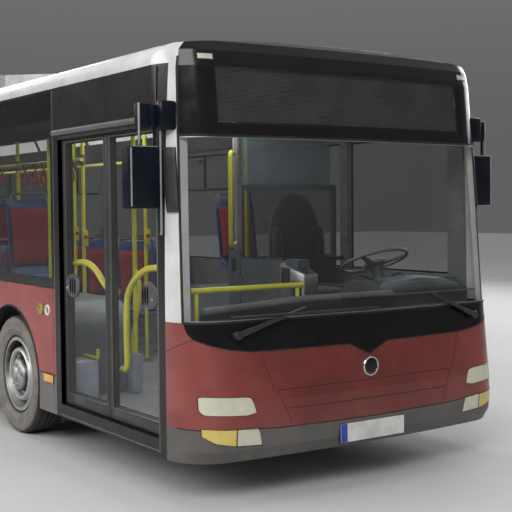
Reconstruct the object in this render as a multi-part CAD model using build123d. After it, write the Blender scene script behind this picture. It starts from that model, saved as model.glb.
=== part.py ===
from build123d import *
from build123d import SkipClean
import math
import os

# A full-size low-floor city bus with two double doors on its right side.
# Millimetres. +X is forward, +Y is the bus's left, +Z is up, and Z = 0 is the road.
# Lengths along the bus are stations, counted backwards from the front-most point of the bumper.

# Body shell
BODY_LENGTH = 11980
BODY_WIDTH = 2500
ROOF_TOP = 2740
SKIRT_BOTTOM = 274
BUMPER_BOTTOM = 255
GLASS_BOTTOM = 1226
GLASS_TOP = 2240
CANT_RAIL_BOTTOM = 2562
WALL = 60
ROOF_WALL = 45
FRONT_WALL = 45
ROOF_CROWN_RADIUS = 11500
ROOF_CORNER_RADIUS = 100
FRONT_FACE_RADIUS = 10000
FRONT_CORNER_RADIUS = 280
REAR_FACE_RADIUS = 14000
REAR_CORNER_RADIUS = 160
FRONT_SECTION = 387
REAR_SECTION = 300
FRONT_HULL = 1000
REAR_HULL = 700

# Set-backs of the nose and the tail on the centre line: (height, set-back)
FRONT_PROFILE = ((255, 60), (330, 10), (445, 0), (600, 8), (815, 35), (1066, 62), (2140, 165),
                 (2545, 205), (2640, 228), (2700, 270), (2730, 330), (2745, 386))
REAR_PROFILE = ((274, 44), (420, 14), (1300, 14), (2500, 74), (2620, 92), (2700, 140), (2745, 304))

# Front end
WINDSCREEN_BOTTOM = 1066
WINDSCREEN_TOP = 2140
PILLAR_EDGE_LOW = 251
PILLAR_EDGE_SLOPE = 0.0632
SIGN_HALF_WIDTH = 975
SIGN_BOTTOM = 2222
SIGN_TOP = 2543
PANE = 6
SEAT_GAP = 0.3
HINGE_GAP = 0.5
BEARING_GAP = 0.4
GLASS_LAP = 32
GLASS_LAP_LOW = 54

# Wheels and axles
FRONT_AXLE = 2800
REAR_AXLE = 8675
AXLE_TO_ENGINE = 1225
ENGINE_TO_TAIL = 540
BENCH_TO_TAIL = 1020
TYRE_RADIUS = 454
TYRE_WIDTH = 275
TYRE_OUTER_FACE = 1225
TWIN_SPACING = 312
RIM_RADIUS = 285
RIM_WIDTH = 215
ARCH_RADIUS = 540
KINGPIN_Y = 900
STEER_ARM = 200

# Floors
FLOOR_TOP = 340
FLOOR_PLATE = 35
DECK_TOP = 760
DECK_BEHIND_DOOR = 180
STEP_TREAD = 300
AISLE_HALF = 330
PODIUM_TOP = 590
CAB_WALL_Y = 150
CAB_WALL = 25
BOX_PLATE = 25

# Doors
DOOR_OPENING = 1400
JAMB = 84
FRONT_DOOR = 471
DOOR_SPACING = 3189
SILL_TOP = 362
DOOR_HEAD = 2223
LEAF_BOTTOM = 372
LEAF_TOP = 2213
LEAF_THICKNESS = 40
LEAF_RECESS = 30
PIVOT_LINE_Y = 1150
JAMB_TO_POST = 18
LEAF_EDGE_GAP = 16
LEAF_MEETING_GAP = 6
ROLLER_SET_BACK = 40
POST_RADIUS = 20
ARM_WIDTH = 30
ARM_THICKNESS = 16
ARM_CLEARANCE = 8
PIN_RADIUS = 8
PIN_CLEARANCE = 0.5

# Worked-out sizes
HALF_LENGTH = BODY_LENGTH / 2
HALF_WIDTH = BODY_WIDTH / 2
WALL_INNER_Y = HALF_WIDTH - WALL
BODY_END = BODY_LENGTH - REAR_SECTION
LEAF_OUTER_Y = HALF_WIDTH - LEAF_RECESS
LEAF_INNER_Y = LEAF_OUTER_Y - LEAF_THICKNESS
HALF_OPENING = DOOR_OPENING / 2
MIDDLE_DOOR = FRONT_DOOR + DOOR_OPENING + DOOR_SPACING
DECK_START = MIDDLE_DOOR + DOOR_OPENING + DECK_BEHIND_DOOR
BENCH_STATION = BODY_LENGTH - BENCH_TO_TAIL
LINK_SPAN = JAMB_TO_POST + HALF_OPENING - LEAF_MEETING_GAP - ROLLER_SET_BACK
ARM_LENGTH = LINK_SPAN / 2


def at_station(station):
    """X of a station counted from the nose."""
    return HALF_LENGTH - station


def block(stations, y_range, z_range):
    """Box between two stations, two Y values and two heights."""
    long = abs(stations[1] - stations[0])
    wide = abs(y_range[1] - y_range[0])
    high = abs(z_range[1] - z_range[0])
    centre = Pos(at_station(sum(stations) / 2), sum(y_range) / 2, sum(z_range) / 2)
    return centre * Box(long, wide, high)


def side_prism(points, y_range):
    """Outline of (station, height) points, extruded across the bus."""
    corners = [(at_station(s), y_range[0], z) for s, z in points]
    face = make_face(Polyline(*corners, close=True))
    return extrude(face, amount=y_range[1] - y_range[0], dir=(0, 1, 0))


def front_prism(points, stations):
    """Outline of (y, height) points, extruded along the bus."""
    corners = [(at_station(stations[1]), y, z) for y, z in points]
    face = make_face(Polyline(*corners, close=True))
    return extrude(face, amount=stations[1] - stations[0], dir=(1, 0, 0))


def upright(x, y, z_range, radius):
    """Vertical round bar."""
    high = z_range[1] - z_range[0]
    return Pos(x, y, sum(z_range) / 2) * Cylinder(radius, high)


def crossbar(station, y_range, z, radius):
    """Round bar across the bus."""
    wide = y_range[1] - y_range[0]
    return Pos(at_station(station), sum(y_range) / 2, z) * Rot(90, 0, 0) * Cylinder(radius, wide)


def tube_path(points, radius, bend):
    """Round bar bent through the points, with arcs of the bend radius."""
    if len(points) > 2:
        path = FilletPolyline(*points, radius=bend)
    else:
        path = Line(*points)
    return sweep(Plane(path @ 0, z_dir=path % 0) * Circle(radius), path=path)


def mirrored(shape):
    """The same shape on the other side of the centre plane."""
    return mirror(shape, about=Plane.XZ)


def pair(shape):
    """A shape and its mirror image."""
    return [shape, mirrored(shape)]


def fused(shapes):
    """One shape from a list of shapes that meet."""
    total = shapes[0]
    for shape in shapes[1:]:
        total = total + shape
    return total


def save(name, shapes):
    """Write one node from a solid or a list of solids that do not touch."""
    if not isinstance(shapes, list):
        shapes = [shapes]
    solids = [solid for shape in shapes for solid in shape.solids()]
    node = solids[0] if len(solids) == 1 else Compound(children=solids)
    export_step(node, f"parts/{name}.step")


# Hull of the body


def end_plan(end, height, set_back, inset):
    """Plan outline of the nose or the tail at one height, moved in by the inset."""
    half = HALF_WIDTH - inset
    corner = end["corner"] - inset
    face = end["face"] - inset
    tip = HALF_LENGTH - set_back - inset
    face_centre = tip - face
    corner_y = half - corner
    corner_x = face_centre + math.sqrt((face - corner) ** 2 - corner_y**2)
    turn = math.atan2(corner_y, corner_x - face_centre)
    middle = (turn + math.pi / 2) / 2
    join_x = HALF_LENGTH - end["section"]
    sign = end["sign"]

    def point(x, y):
        return (sign * x, y, height)

    face_end = (face_centre + face * math.cos(turn), face * math.sin(turn))
    corner_mid = (corner_x + corner * math.cos(middle), corner_y + corner * math.sin(middle))
    outline = [
        Line(point(join_x, -half), point(corner_x, -half)),
        ThreePointArc(point(corner_x, -half), point(corner_mid[0], -corner_mid[1]),
                      point(face_end[0], -face_end[1])),
        ThreePointArc(point(face_end[0], -face_end[1]), point(tip, 0), point(*face_end)),
        ThreePointArc(point(*face_end), point(*corner_mid), point(corner_x, half)),
        Line(point(corner_x, half), point(join_x, half)),
        Line(point(join_x, half), point(join_x, -half)),
    ]
    return make_face(outline)


def body_prism(inset, stations):
    """The body's cross-section, with its crowned roof, extruded along the bus."""
    half = HALF_WIDTH - inset
    corner = ROOF_CORNER_RADIUS - inset
    crown = ROOF_CROWN_RADIUS - inset
    top = ROOF_TOP - inset
    centre_z = top - crown
    corner_y = half - corner
    corner_z = centre_z + math.sqrt((crown - corner) ** 2 - corner_y**2)
    turn = math.atan2(corner_y, corner_z - centre_z)
    middle = (turn + math.pi / 2) / 2
    x = at_station(stations[1])
    foot = BUMPER_BOTTOM - 20
    crown_end = (crown * math.sin(turn), centre_z + crown * math.cos(turn))
    corner_mid = (corner_y + corner * math.sin(middle), corner_z + corner * math.cos(middle))
    outline = [
        Line((x, -half, foot), (x, -half, corner_z)),
        ThreePointArc((x, -half, corner_z), (x, -corner_mid[0], corner_mid[1]),
                      (x, -crown_end[0], crown_end[1])),
        ThreePointArc((x, -crown_end[0], crown_end[1]), (x, 0, top), (x, *crown_end)),
        ThreePointArc((x, *crown_end), (x, *corner_mid), (x, half, corner_z)),
        Line((x, half, corner_z), (x, half, foot)),
        Line((x, half, foot), (x, -half, foot)),
    ]
    return extrude(make_face(outline), amount=stations[1] - stations[0], dir=(1, 0, 0))


def ceiling(y):
    """Height of the roof's inner face at a distance from the centre line."""
    crown = ROOF_CROWN_RADIUS - ROOF_WALL
    return ROOF_TOP - ROOF_WALL - crown + math.sqrt(crown**2 - y**2)


FRONT = {"sign": 1, "face": FRONT_FACE_RADIUS, "corner": FRONT_CORNER_RADIUS, "section": FRONT_HULL,
         "profile": FRONT_PROFILE, "stations": (-50, FRONT_HULL)}
REAR = {"sign": -1, "face": REAR_FACE_RADIUS, "corner": REAR_CORNER_RADIUS, "section": REAR_HULL,
        "profile": REAR_PROFILE, "stations": (BODY_LENGTH - REAR_HULL, BODY_LENGTH + 50)}


def end_hull(end, inset):
    """Solid nose or tail, moved in by the inset."""
    sections = [end_plan(end, z, set_back, inset) for z, set_back in end["profile"]]
    return loft(sections, ruled=True) & body_prism(inset, end["stations"])


front_hull = end_hull(FRONT, 0)
front_wall = front_hull - end_hull(FRONT, FRONT_WALL)
front_glass = front_hull - end_hull(FRONT, PANE)
front_rebate = front_hull - end_hull(FRONT, PANE + SEAT_GAP)
rear_hull = end_hull(REAR, 0)
rear_shell = rear_hull - end_hull(REAR, FRONT_WALL)
rear_glass = rear_hull - end_hull(REAR, PANE)
rear_rebate = rear_hull - end_hull(REAR, PANE + SEAT_GAP)

# Front end: regions in front view and side view

NOSE = (-20, FRONT_SECTION)
FAR = 3000
BUMPER_LINE = ((0, 430), (697, 437), (980, 455), (1180, 487), (1245, 552), (1300, 552))
PANEL_BAND = ((0, 815), (152, 883), (226, 885), (731, 888), (864, 892), (993, 910), (1104, 939), (1179, 973),
              (1203, 1011), (1213, WINDSCREEN_BOTTOM))
HEAD_LAMP = ((1179, 651), (1179, 577), (1159, 544), (906, 527), (847, 538), (875, 621), (900, 635))
LOW_LAMP = ((1170, 468), (1170, 424), (1105, 381), (977, 355), (813, 347), (835, 452), (980, 455))


def both_ways(half_line):
    """A line of (y, height) points, drawn on both sides of the centre plane."""
    left = [(-y, z) for y, z in reversed(half_line) if y > 0]
    return left + list(half_line)


below_bumper_line = front_prism(both_ways(BUMPER_LINE) + [(1300, 200), (-1300, 200)], NOSE)
above_band_line = front_prism(both_ways(PANEL_BAND), NOSE)
below_screen = block(NOSE, (-FAR, FAR), (200, WINDSCREEN_BOTTOM))
above_screen = block(NOSE, (-FAR, FAR), (WINDSCREEN_TOP, ROOF_TOP + 50))
windscreen_zone = block(NOSE, (-FAR, FAR), (WINDSCREEN_BOTTOM, WINDSCREEN_TOP))
below_cant_rail = block(NOSE, (-FAR, FAR), (WINDSCREEN_BOTTOM, CANT_RAIL_BOTTOM))
pillar_low_z = BUMPER_BOTTOM
pillar_top_z = ROOF_TOP + 60


def pillar_edge(height):
    """Station of the windscreen's and the dome's rear edge at one height."""
    return PILLAR_EDGE_LOW + (height - WINDSCREEN_BOTTOM) * PILLAR_EDGE_SLOPE


ahead_of_pillar = side_prism(
    ((-20, pillar_low_z), (pillar_edge(pillar_low_z), pillar_low_z),
     (pillar_edge(pillar_top_z), pillar_top_z), (-20, pillar_top_z)), (-FAR, FAR))

head_lamp_space = front_prism(HEAD_LAMP, (-20, 380))
low_lamp_space = front_prism(LOW_LAMP, (-20, 380))
lamp_spaces = pair(head_lamp_space) + pair(low_lamp_space)

front_bumper = front_wall & below_bumper_line
front_skin = (front_wall & below_screen) - below_bumper_line
front_band = front_skin & above_band_line
front_panel = front_skin - above_band_line
for space in lamp_spaces:
    front_bumper = front_bumper - space
    front_panel = front_panel - space

windscreen = front_glass & windscreen_zone & ahead_of_pillar
corner_pillars = (front_wall & below_cant_rail) - ahead_of_pillar

sign_space = block(NOSE, (-SIGN_HALF_WIDTH, SIGN_HALF_WIDTH), (SIGN_BOTTOM, SIGN_TOP))
sign_rebate = block(NOSE, (-SIGN_HALF_WIDTH - 20, SIGN_HALF_WIDTH + 20), (SIGN_BOTTOM - 20, SIGN_TOP + 20))
display_housing = (front_wall & above_screen & ahead_of_pillar) - sign_space
display_housing = display_housing - (front_rebate & sign_rebate)
front_sign = front_glass & sign_rebate

head_lamps = [front_wall & space for space in pair(head_lamp_space)]
low_lamps = [front_wall & space for space in pair(low_lamp_space)]

# Roof

roof_heights = block((-50, BODY_LENGTH + 50), (-FAR, FAR), (CANT_RAIL_BOTTOM, ROOF_TOP + 50))
roof_span = (FRONT_HULL, BODY_LENGTH - REAR_HULL)
roof_front = (front_wall & roof_heights) - ahead_of_pillar
roof_rear = rear_shell & block((0, BODY_END), (-FAR, FAR), (CANT_RAIL_BOTTOM, ROOF_TOP + 50))
roof_middle = body_prism(0, roof_span) - body_prism(ROOF_WALL, roof_span)
with SkipClean():
    roof = (roof_middle & roof_heights) + roof_front + roof_rear

UNIT_TOP = 2900
ROOF_UNIT_PROFILE = ((2350, 2700), (2350, 2738), (3900, UNIT_TOP - 12), (4300, UNIT_TOP), (6300, UNIT_TOP),
                     (6480, UNIT_TOP - 20), (6700, 2700))
ROOF_UNIT_HALF = 890
FAN_STATIONS = (4540, 5240, 5940)
FAN_Y = 420
FAN_RADIUS = 235
FAN_RIM = 27
FAN_RIM_HEIGHT = 12
FAN_WELL = 50
FAN_BAR = 14
ROOF_HATCHES = ((1550, 620, 560), (9300, 620, 560))
roof_clear = body_prism(-SEAT_GAP, (1000, BODY_LENGTH - 980))
roof_unit_solid = side_prism(ROOF_UNIT_PROFILE, (-ROOF_UNIT_HALF, ROOF_UNIT_HALF)) - roof_clear
for station in FAN_STATIONS:
    for y in (-FAN_Y, FAN_Y):
        x = at_station(station)
        rim = upright(x, y, (UNIT_TOP - 1, UNIT_TOP + FAN_RIM_HEIGHT), FAN_RADIUS + FAN_RIM)
        well = upright(x, y, (UNIT_TOP - FAN_WELL, UNIT_TOP + FAN_RIM_HEIGHT + 1), FAN_RADIUS)
        roof_unit_solid = roof_unit_solid + rim - well
        for long, wide in ((FAN_RADIUS + 5, FAN_BAR / 2), (FAN_BAR / 2, FAN_RADIUS + 5)):
            roof_unit_solid = roof_unit_solid + block((station - long, station + long), (y - wide, y + wide),
                                                      (UNIT_TOP - 8, UNIT_TOP + 2))
hatches = []
for station, long, wide in ROOF_HATCHES:
    lid = block((station - long / 2, station + long / 2), (-wide / 2, wide / 2), (2700, ROOF_TOP + 34))
    hatches.append(lid - roof_clear)

# Side walls

WALL_JOIN = 525
nose_inner = end_hull(FRONT, WALL)
nose_shell = front_hull - end_hull(FRONT, WALL + SEAT_GAP)
WHEEL_CENTRES = (FRONT_AXLE, REAR_AXLE)
WINDOW_LENGTH = 1400
WINDOW_POST = 80
DOOR_TO_WINDOW = 190
SIDE_SIGN_LENGTH = 1075


def window_row(start, limit):
    """Ends of evenly spaced windows, front to back, as many as the wall has room for."""
    pitch = WINDOW_LENGTH + WINDOW_POST
    count = int((limit - start + WINDOW_POST) // pitch)
    return [(start + index * pitch, start + index * pitch + WINDOW_LENGTH) for index in range(count)]


behind_front_door = FRONT_DOOR + DOOR_OPENING
behind_middle_door = MIDDLE_DOOR + DOOR_OPENING
GRILLE = (BODY_LENGTH - 1260, BODY_LENGTH - 500)
right_rear_windows = window_row(behind_middle_door + DOOR_TO_WINDOW, BODY_END - WINDOW_POST)
RIGHT_WINDOWS = window_row(behind_front_door + 119, MIDDLE_DOOR - DOOR_TO_WINDOW) + right_rear_windows
LEFT_WINDOWS = [(560, 1700)] + window_row(1790, GRILLE[0] - WINDOW_POST)
DOORS = (FRONT_DOOR, MIDDLE_DOOR)
SIDE_SIGN = ((behind_front_door + 104, behind_front_door + 104 + SIDE_SIGN_LENGTH), (2349, 2540))
GRILLE_HEIGHTS = (620, 1100)
GRILLE_SLATS = 9


def wall_pane(stations, heights, side):
    """Flush pane in the outer face of a side wall."""
    outer = side * HALF_WIDTH
    return block(stations, (outer, outer - side * PANE), heights)


def window_panes(windows, side):
    """Bonded side windows, with their laps over the wall round each opening."""
    heights = (GLASS_BOTTOM - GLASS_LAP_LOW, GLASS_TOP + GLASS_LAP)
    return [wall_pane((s0 - GLASS_LAP, s1 + GLASS_LAP), heights, side) for s0, s1 in windows]


def side_wall(windows, side):
    """Wall from the skirt to the cant rail, with wheel arches and windows cut."""
    inner, outer = side * WALL_INNER_Y, side * HALF_WIDTH
    heights = (SKIRT_BOTTOM, CANT_RAIL_BOTTOM)
    wall = block((WALL_JOIN, BODY_END), (inner, outer), heights)
    nose_end = block((FRONT_SECTION, WALL_JOIN), (inner - side * 30, outer + side), heights)
    with SkipClean():
        wall = wall + ((front_hull - nose_inner) & nose_end)
    for axle in WHEEL_CENTRES:
        arch_y = (side * HALF_WIDTH - 150, side * HALF_WIDTH + 150)
        wall = wall - crossbar(axle, arch_y, TYRE_RADIUS, ARCH_RADIUS)
        arch_ends = (axle - ARCH_RADIUS, axle + ARCH_RADIUS)
        wall = wall - block(arch_ends, (inner - side, outer + side), (200, TYRE_RADIUS))
    for s0, s1 in windows:
        wall = wall - block((s0, s1), (inner - side, outer + side), (GLASS_BOTTOM, GLASS_TOP))
    for pane in window_panes(windows, side):
        wall = wall - pane
    return wall


right_panes = window_panes(RIGHT_WINDOWS, -1)
left_panes = window_panes(LEFT_WINDOWS, 1)
side_sign = wall_pane(*SIDE_SIGN, -1)

side_wall_right = side_wall(RIGHT_WINDOWS, -1) - side_sign
for door in DOORS:
    doorway = block((door, door + DOOR_OPENING), (-WALL_INNER_Y + 1, -HALF_WIDTH - 1), (SILL_TOP, DOOR_HEAD))
    side_wall_right = side_wall_right - doorway

side_wall_left = side_wall(LEFT_WINDOWS, 1)
grille_space = block(GRILLE, (WALL_INNER_Y - 1, HALF_WIDTH + 1), GRILLE_HEIGHTS)
side_wall_left = side_wall_left - grille_space
slat_pitch = (GRILLE_HEIGHTS[1] - GRILLE_HEIGHTS[0]) / GRILLE_SLATS
for index in range(GRILLE_SLATS):
    z = GRILLE_HEIGHTS[0] + (index + 0.5) * slat_pitch
    slat = block(GRILLE, (HALF_WIDTH - 34, HALF_WIDTH - 4), (z - 6, z + 6))
    side_wall_left = side_wall_left + slat

# Tail

TAIL = (BODY_END, BODY_LENGTH + 30)
REAR_BUMPER_TOP = 520
FLAP_HALF = 780
FLAP_HEIGHTS = (560, 1290)
FLAP_GAP = 7
REAR_WINDOW_HALF = 930
REAR_WINDOW_HEIGHTS = (1460, 2200)
TAIL_LAMP_Y = (1010, 1180)
TAIL_LAMP_HEIGHTS = (700, 1240)
REAR_SIGN_HALF = 320
REAR_SIGN_HEIGHTS = (2320, 2500)

rear_bumper = rear_shell & block(TAIL, (-FAR, FAR), (200, REAR_BUMPER_TOP))
rear_wall = rear_shell & block(TAIL, (-FAR, FAR), (REAR_BUMPER_TOP, ROOF_TOP + 50))
flap_space = block(TAIL, (-FLAP_HALF - FLAP_GAP, FLAP_HALF + FLAP_GAP),
                   (FLAP_HEIGHTS[0] - FLAP_GAP, FLAP_HEIGHTS[1] + FLAP_GAP))
engine_flap = rear_shell & block(TAIL, (-FLAP_HALF, FLAP_HALF), FLAP_HEIGHTS)
rear_window_space = block(TAIL, (-REAR_WINDOW_HALF, REAR_WINDOW_HALF), REAR_WINDOW_HEIGHTS)
rear_window_rebate = block(TAIL, (-REAR_WINDOW_HALF - GLASS_LAP, REAR_WINDOW_HALF + GLASS_LAP),
                           (REAR_WINDOW_HEIGHTS[0] - GLASS_LAP, REAR_WINDOW_HEIGHTS[1] + GLASS_LAP))
rear_sign_space = block(TAIL, (-REAR_SIGN_HALF, REAR_SIGN_HALF), REAR_SIGN_HEIGHTS)
rear_window = rear_glass & rear_window_rebate
rear_sign = rear_glass & rear_sign_space
tail_lamp_space = block(TAIL, TAIL_LAMP_Y, TAIL_LAMP_HEIGHTS)
rear_wall = rear_wall - flap_space - rear_window_space
rear_wall = rear_wall - (rear_rebate & rear_window_rebate) - (rear_rebate & rear_sign_space)
tail_lamps = []
for space in pair(tail_lamp_space):
    tail_lamps.append(rear_shell & space)
    rear_wall = rear_wall - space

# Hinges along the flap's top edge: the wall's eyes carry a pin and the flap's eye turns on it
HINGE_EYE = 14
HINGE_PIN = 5
HINGE_EYE_LENGTH = 40
FLAP_HINGE_Y = 400
flap_hinge_z = FLAP_HEIGHTS[1] + FLAP_GAP / 2
flap_hinge_station = BODY_LENGTH - HINGE_EYE
HINGE_ROOM = 6


def flap_hinge_bar(y_range, radius):
    """Round bar on the flap's hinge line."""
    return crossbar(flap_hinge_station, y_range, flap_hinge_z, radius)


for y in (-FLAP_HINGE_Y, FLAP_HINGE_Y):
    flap_eye = (y - HINGE_EYE_LENGTH, y + HINGE_EYE_LENGTH)
    wall_eyes = ((flap_eye[0] - 2 - HINGE_EYE_LENGTH, flap_eye[0] - 2),
                 (flap_eye[1] + 2, flap_eye[1] + 2 + HINGE_EYE_LENGTH))
    rear_wall = rear_wall - flap_hinge_bar((flap_eye[0] - 5, flap_eye[1] + 5), HINGE_EYE + HINGE_ROOM)
    for eye in wall_eyes:
        engine_flap = engine_flap - flap_hinge_bar((eye[0] - 5, eye[1] + 5), HINGE_EYE + HINGE_ROOM)
        rear_wall = rear_wall + flap_hinge_bar(eye, HINGE_EYE)
    rear_wall = rear_wall + flap_hinge_bar((wall_eyes[0][0], wall_eyes[1][1]), HINGE_PIN)
    engine_flap = engine_flap + flap_hinge_bar(flap_eye, HINGE_EYE)
    engine_flap = engine_flap - flap_hinge_bar((flap_eye[0] - 1, flap_eye[1] + 1), HINGE_PIN + HINGE_GAP)

# Floor, steps, rear deck and wheel boxes

BOX_HALF = {FRONT_AXLE: 612, REAR_AXLE: 545}
BOX_TOP = {FRONT_AXLE: 1010, REAR_AXLE: 1000}
BOX_INNER_Y = {FRONT_AXLE: 565, REAR_AXLE: 590}
BOX_CORNER = 260


def wheel_space(axle, grow, side):
    """Room round a wheel, or with grow the outside of the box that covers it."""
    half = BOX_HALF[axle] + grow
    top = BOX_TOP[axle] + grow
    inner = BOX_INNER_Y[axle] - grow
    shape = block((axle - half, axle + half), (side * inner, side * WALL_INNER_Y), (200, top))
    upper = [e for e in shape.edges().filter_by(Axis.Y) if e.center().Z > top - 1]
    return fillet(upper, BOX_CORNER + grow)


low_floor = block((FRONT_SECTION, DECK_START - SEAT_GAP), (-WALL_INNER_Y, WALL_INNER_Y),
                  (FLOOR_TOP - FLOOR_PLATE, FLOOR_TOP))
nose_floor = nose_inner & block(NOSE, (-FAR, FAR), (FLOOR_TOP - FLOOR_PLATE, FLOOR_TOP))
floor = low_floor + nose_floor

riser_count = 3
riser = (DECK_TOP - FLOOR_TOP) / riser_count
stair_end = DECK_START + (riser_count - 1) * STEP_TREAD
well_half = AISLE_HALF + BOX_PLATE
deck_heights = (DECK_TOP - FLOOR_PLATE, DECK_TOP)
rear_deck = block((DECK_START, BODY_END), (-WALL_INNER_Y, WALL_INNER_Y), deck_heights)
rear_deck = rear_deck - block((DECK_START - 1, stair_end + FLOOR_PLATE + SEAT_GAP),
                              (-well_half - SEAT_GAP, well_half + SEAT_GAP), (0, DECK_TOP + 1))

stair_points = [(DECK_START, FLOOR_TOP - FLOOR_PLATE), (DECK_START, FLOOR_TOP + riser)]
for index in range(1, riser_count):
    stair_points.append((DECK_START + index * STEP_TREAD, FLOOR_TOP + index * riser))
    stair_points.append((DECK_START + index * STEP_TREAD, FLOOR_TOP + (index + 1) * riser))
stair_points.append((stair_end + FLOOR_PLATE, DECK_TOP))
stair_points.append((stair_end + FLOOR_PLATE, DECK_TOP - riser))
stair_points.append((DECK_START + FLOOR_PLATE, FLOOR_TOP - FLOOR_PLATE))
cheek_points = ((DECK_START, FLOOR_TOP - FLOOR_PLATE), (DECK_START, DECK_TOP), (stair_end, DECK_TOP),
                (stair_end, FLOOR_TOP + riser))
stairs = side_prism(stair_points, (-well_half, well_half))
for y in (-well_half, AISLE_HALF):
    stairs = stairs + side_prism(cheek_points, (y, y + BOX_PLATE))
for side in (-1, 1):
    stairs = stairs + block((DECK_START, DECK_START + FLOOR_PLATE), (side * AISLE_HALF, side * WALL_INNER_Y),
                            (FLOOR_TOP - FLOOR_PLATE, deck_heights[0] - SEAT_GAP))

AXLE_ROOM = 150
above_low_floor = block((0, BODY_LENGTH), (-FAR, FAR), (FLOOR_TOP - FLOOR_PLATE, FAR))
axle_way = block((REAR_AXLE - AXLE_ROOM, REAR_AXLE + AXLE_ROOM), (-700, 700), (200, deck_heights[0] - 20))
floor_boxes = []
for axle in WHEEL_CENTRES:
    for side in (-1, 1):
        box = (wheel_space(axle, BOX_PLATE, side) & above_low_floor) - wheel_space(axle, 0, side)
        if axle == REAR_AXLE:
            box = box - axle_way
        floor_boxes.append(box)
        floor = floor - wheel_space(axle, BOX_PLATE + SEAT_GAP, side)
        rear_deck = rear_deck - wheel_space(axle, BOX_PLATE + SEAT_GAP, side)

BENCH_STEP = 160
podium = block((430, 1830), (CAB_WALL_Y + CAB_WALL + SEAT_GAP, WALL_INNER_Y), (FLOOR_TOP, PODIUM_TOP))
bench_podium = block((BENCH_STATION - 200, BENCH_STATION + 600), (-WALL_INNER_Y, WALL_INNER_Y),
                     (DECK_TOP, DECK_TOP + BENCH_STEP))
floor_boxes = floor_boxes + [podium, bench_podium]

# Underframe

BEAM_LOW = (160, 232)
RAIL_Y = 400
RAIL_WIDTH = 60
LOW_RAIL = (240, FLOOR_TOP - FLOOR_PLATE)
HIGH_RAIL = (640, DECK_TOP - FLOOR_PLATE)
LOW_CROSS = (500, 1300, 2000, 3600, 4400, 5200, 6000, DECK_START - 80)
HIGH_CROSS = (DECK_START + 860, REAR_AXLE + 1025, BODY_LENGTH - 480)
RAIL_END = BODY_LENGTH - 380
CROSS_WIDTH = 60
DROP = (DECK_START + FLOOR_PLATE + 5, DECK_START + FLOOR_PLATE + 65)

frame_parts = []
for side in (-1, 1):
    y_low, y_high = side * (RAIL_Y - RAIL_WIDTH / 2), side * (RAIL_Y + RAIL_WIDTH / 2)
    frame_parts.append(block((450, DROP[1]), (y_low, y_high), LOW_RAIL))
    frame_parts.append(block(DROP, (y_low, y_high), (LOW_RAIL[0], HIGH_RAIL[1])))
    frame_parts.append(block((DROP[0], RAIL_END), (y_low, y_high), HIGH_RAIL))
    beam_pad = (FRONT_AXLE - 60, FRONT_AXLE + 60)
    frame_parts.append(block(beam_pad, (y_low, y_high), (BEAM_LOW[1], LOW_RAIL[0])))
for station in LOW_CROSS:
    frame_parts.append(block((station - CROSS_WIDTH / 2, station + CROSS_WIDTH / 2),
                             (-WALL_INNER_Y, WALL_INNER_Y), (LOW_RAIL[0] + 15, LOW_RAIL[1])))
for station in HIGH_CROSS:
    frame_parts.append(block((station - CROSS_WIDTH / 2, station + CROSS_WIDTH / 2),
                             (-WALL_INNER_Y, WALL_INNER_Y), (HIGH_RAIL[0] + 15, HIGH_RAIL[1])))

# Axles, knuckles and steering

BEAM_HALF = 65
YOKE_DEPTH = 205
YOKE_WALL = 65
KINGPIN_RADIUS = 34
KNUCKLE_HEIGHTS = (330, 580)
BOSS_RADIUS = 52
FRONT_BORE = 45
REAR_BORE = 50
TIE_EYE = (171, 205)
STEER_ARM_HALF = 26
WHEEL_CENTRE_Y = TYRE_OUTER_FACE - TYRE_WIDTH / 2


def front_axle_half(side):
    """Half of the dropped portal beam with its kingpin yoke."""
    x_range = (FRONT_AXLE - BEAM_HALF, FRONT_AXLE + BEAM_HALF)
    post_y = (side * (KINGPIN_Y - YOKE_DEPTH), side * (KINGPIN_Y - YOKE_DEPTH + YOKE_WALL))
    beam = block(x_range, (0, post_y[1]), BEAM_LOW)
    upright_post = block(x_range, post_y, (BEAM_LOW[0], 640))
    top_eye = block(x_range, (post_y[0], side * (KINGPIN_Y + 40)), (590, 640))
    low_eye = block(x_range, (post_y[0], side * (KINGPIN_Y + 40)), (260, 320))
    pin = upright(at_station(FRONT_AXLE), side * KINGPIN_Y, (260, 640), KINGPIN_RADIUS)
    return fused([beam, upright_post, top_eye, low_eye, pin])


front_axle = front_axle_half(-1) + front_axle_half(1)


def knuckle(side):
    """Steering knuckle: bored boss, stub axle and rearward steering arm."""
    x = at_station(FRONT_AXLE)
    boss = upright(x, side * KINGPIN_Y, KNUCKLE_HEIGHTS, BOSS_RADIUS)
    stub_range = sorted((side * (KINGPIN_Y + 20), side * (WHEEL_CENTRE_Y + 60)))
    stub = crossbar(FRONT_AXLE, stub_range, TYRE_RADIUS, FRONT_BORE - BEARING_GAP)
    arm_y = (side * (KINGPIN_Y - STEER_ARM_HALF), side * (KINGPIN_Y + STEER_ARM_HALF))
    arm = block((FRONT_AXLE, FRONT_AXLE + STEER_ARM + STEER_ARM_HALF), arm_y, (330, 356))
    drop = upright(x - STEER_ARM, side * KINGPIN_Y, (TIE_EYE[1] + SEAT_GAP, 356), 22)
    bore = upright(x, side * KINGPIN_Y, (300, 600), KINGPIN_RADIUS + PIN_CLEARANCE)
    return fused([boss, stub, arm, drop]) - bore


tie_rod_z = sum(TIE_EYE) / 2
tie_x = at_station(FRONT_AXLE + STEER_ARM)
tie_rod = Pos(tie_x, 0, tie_rod_z) * Rot(90, 0, 0) * Cylinder(16, 2 * (KINGPIN_Y - 10))
for side in (-1, 1):
    tie_rod = tie_rod + upright(tie_x, side * KINGPIN_Y, TIE_EYE, 30)

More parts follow.
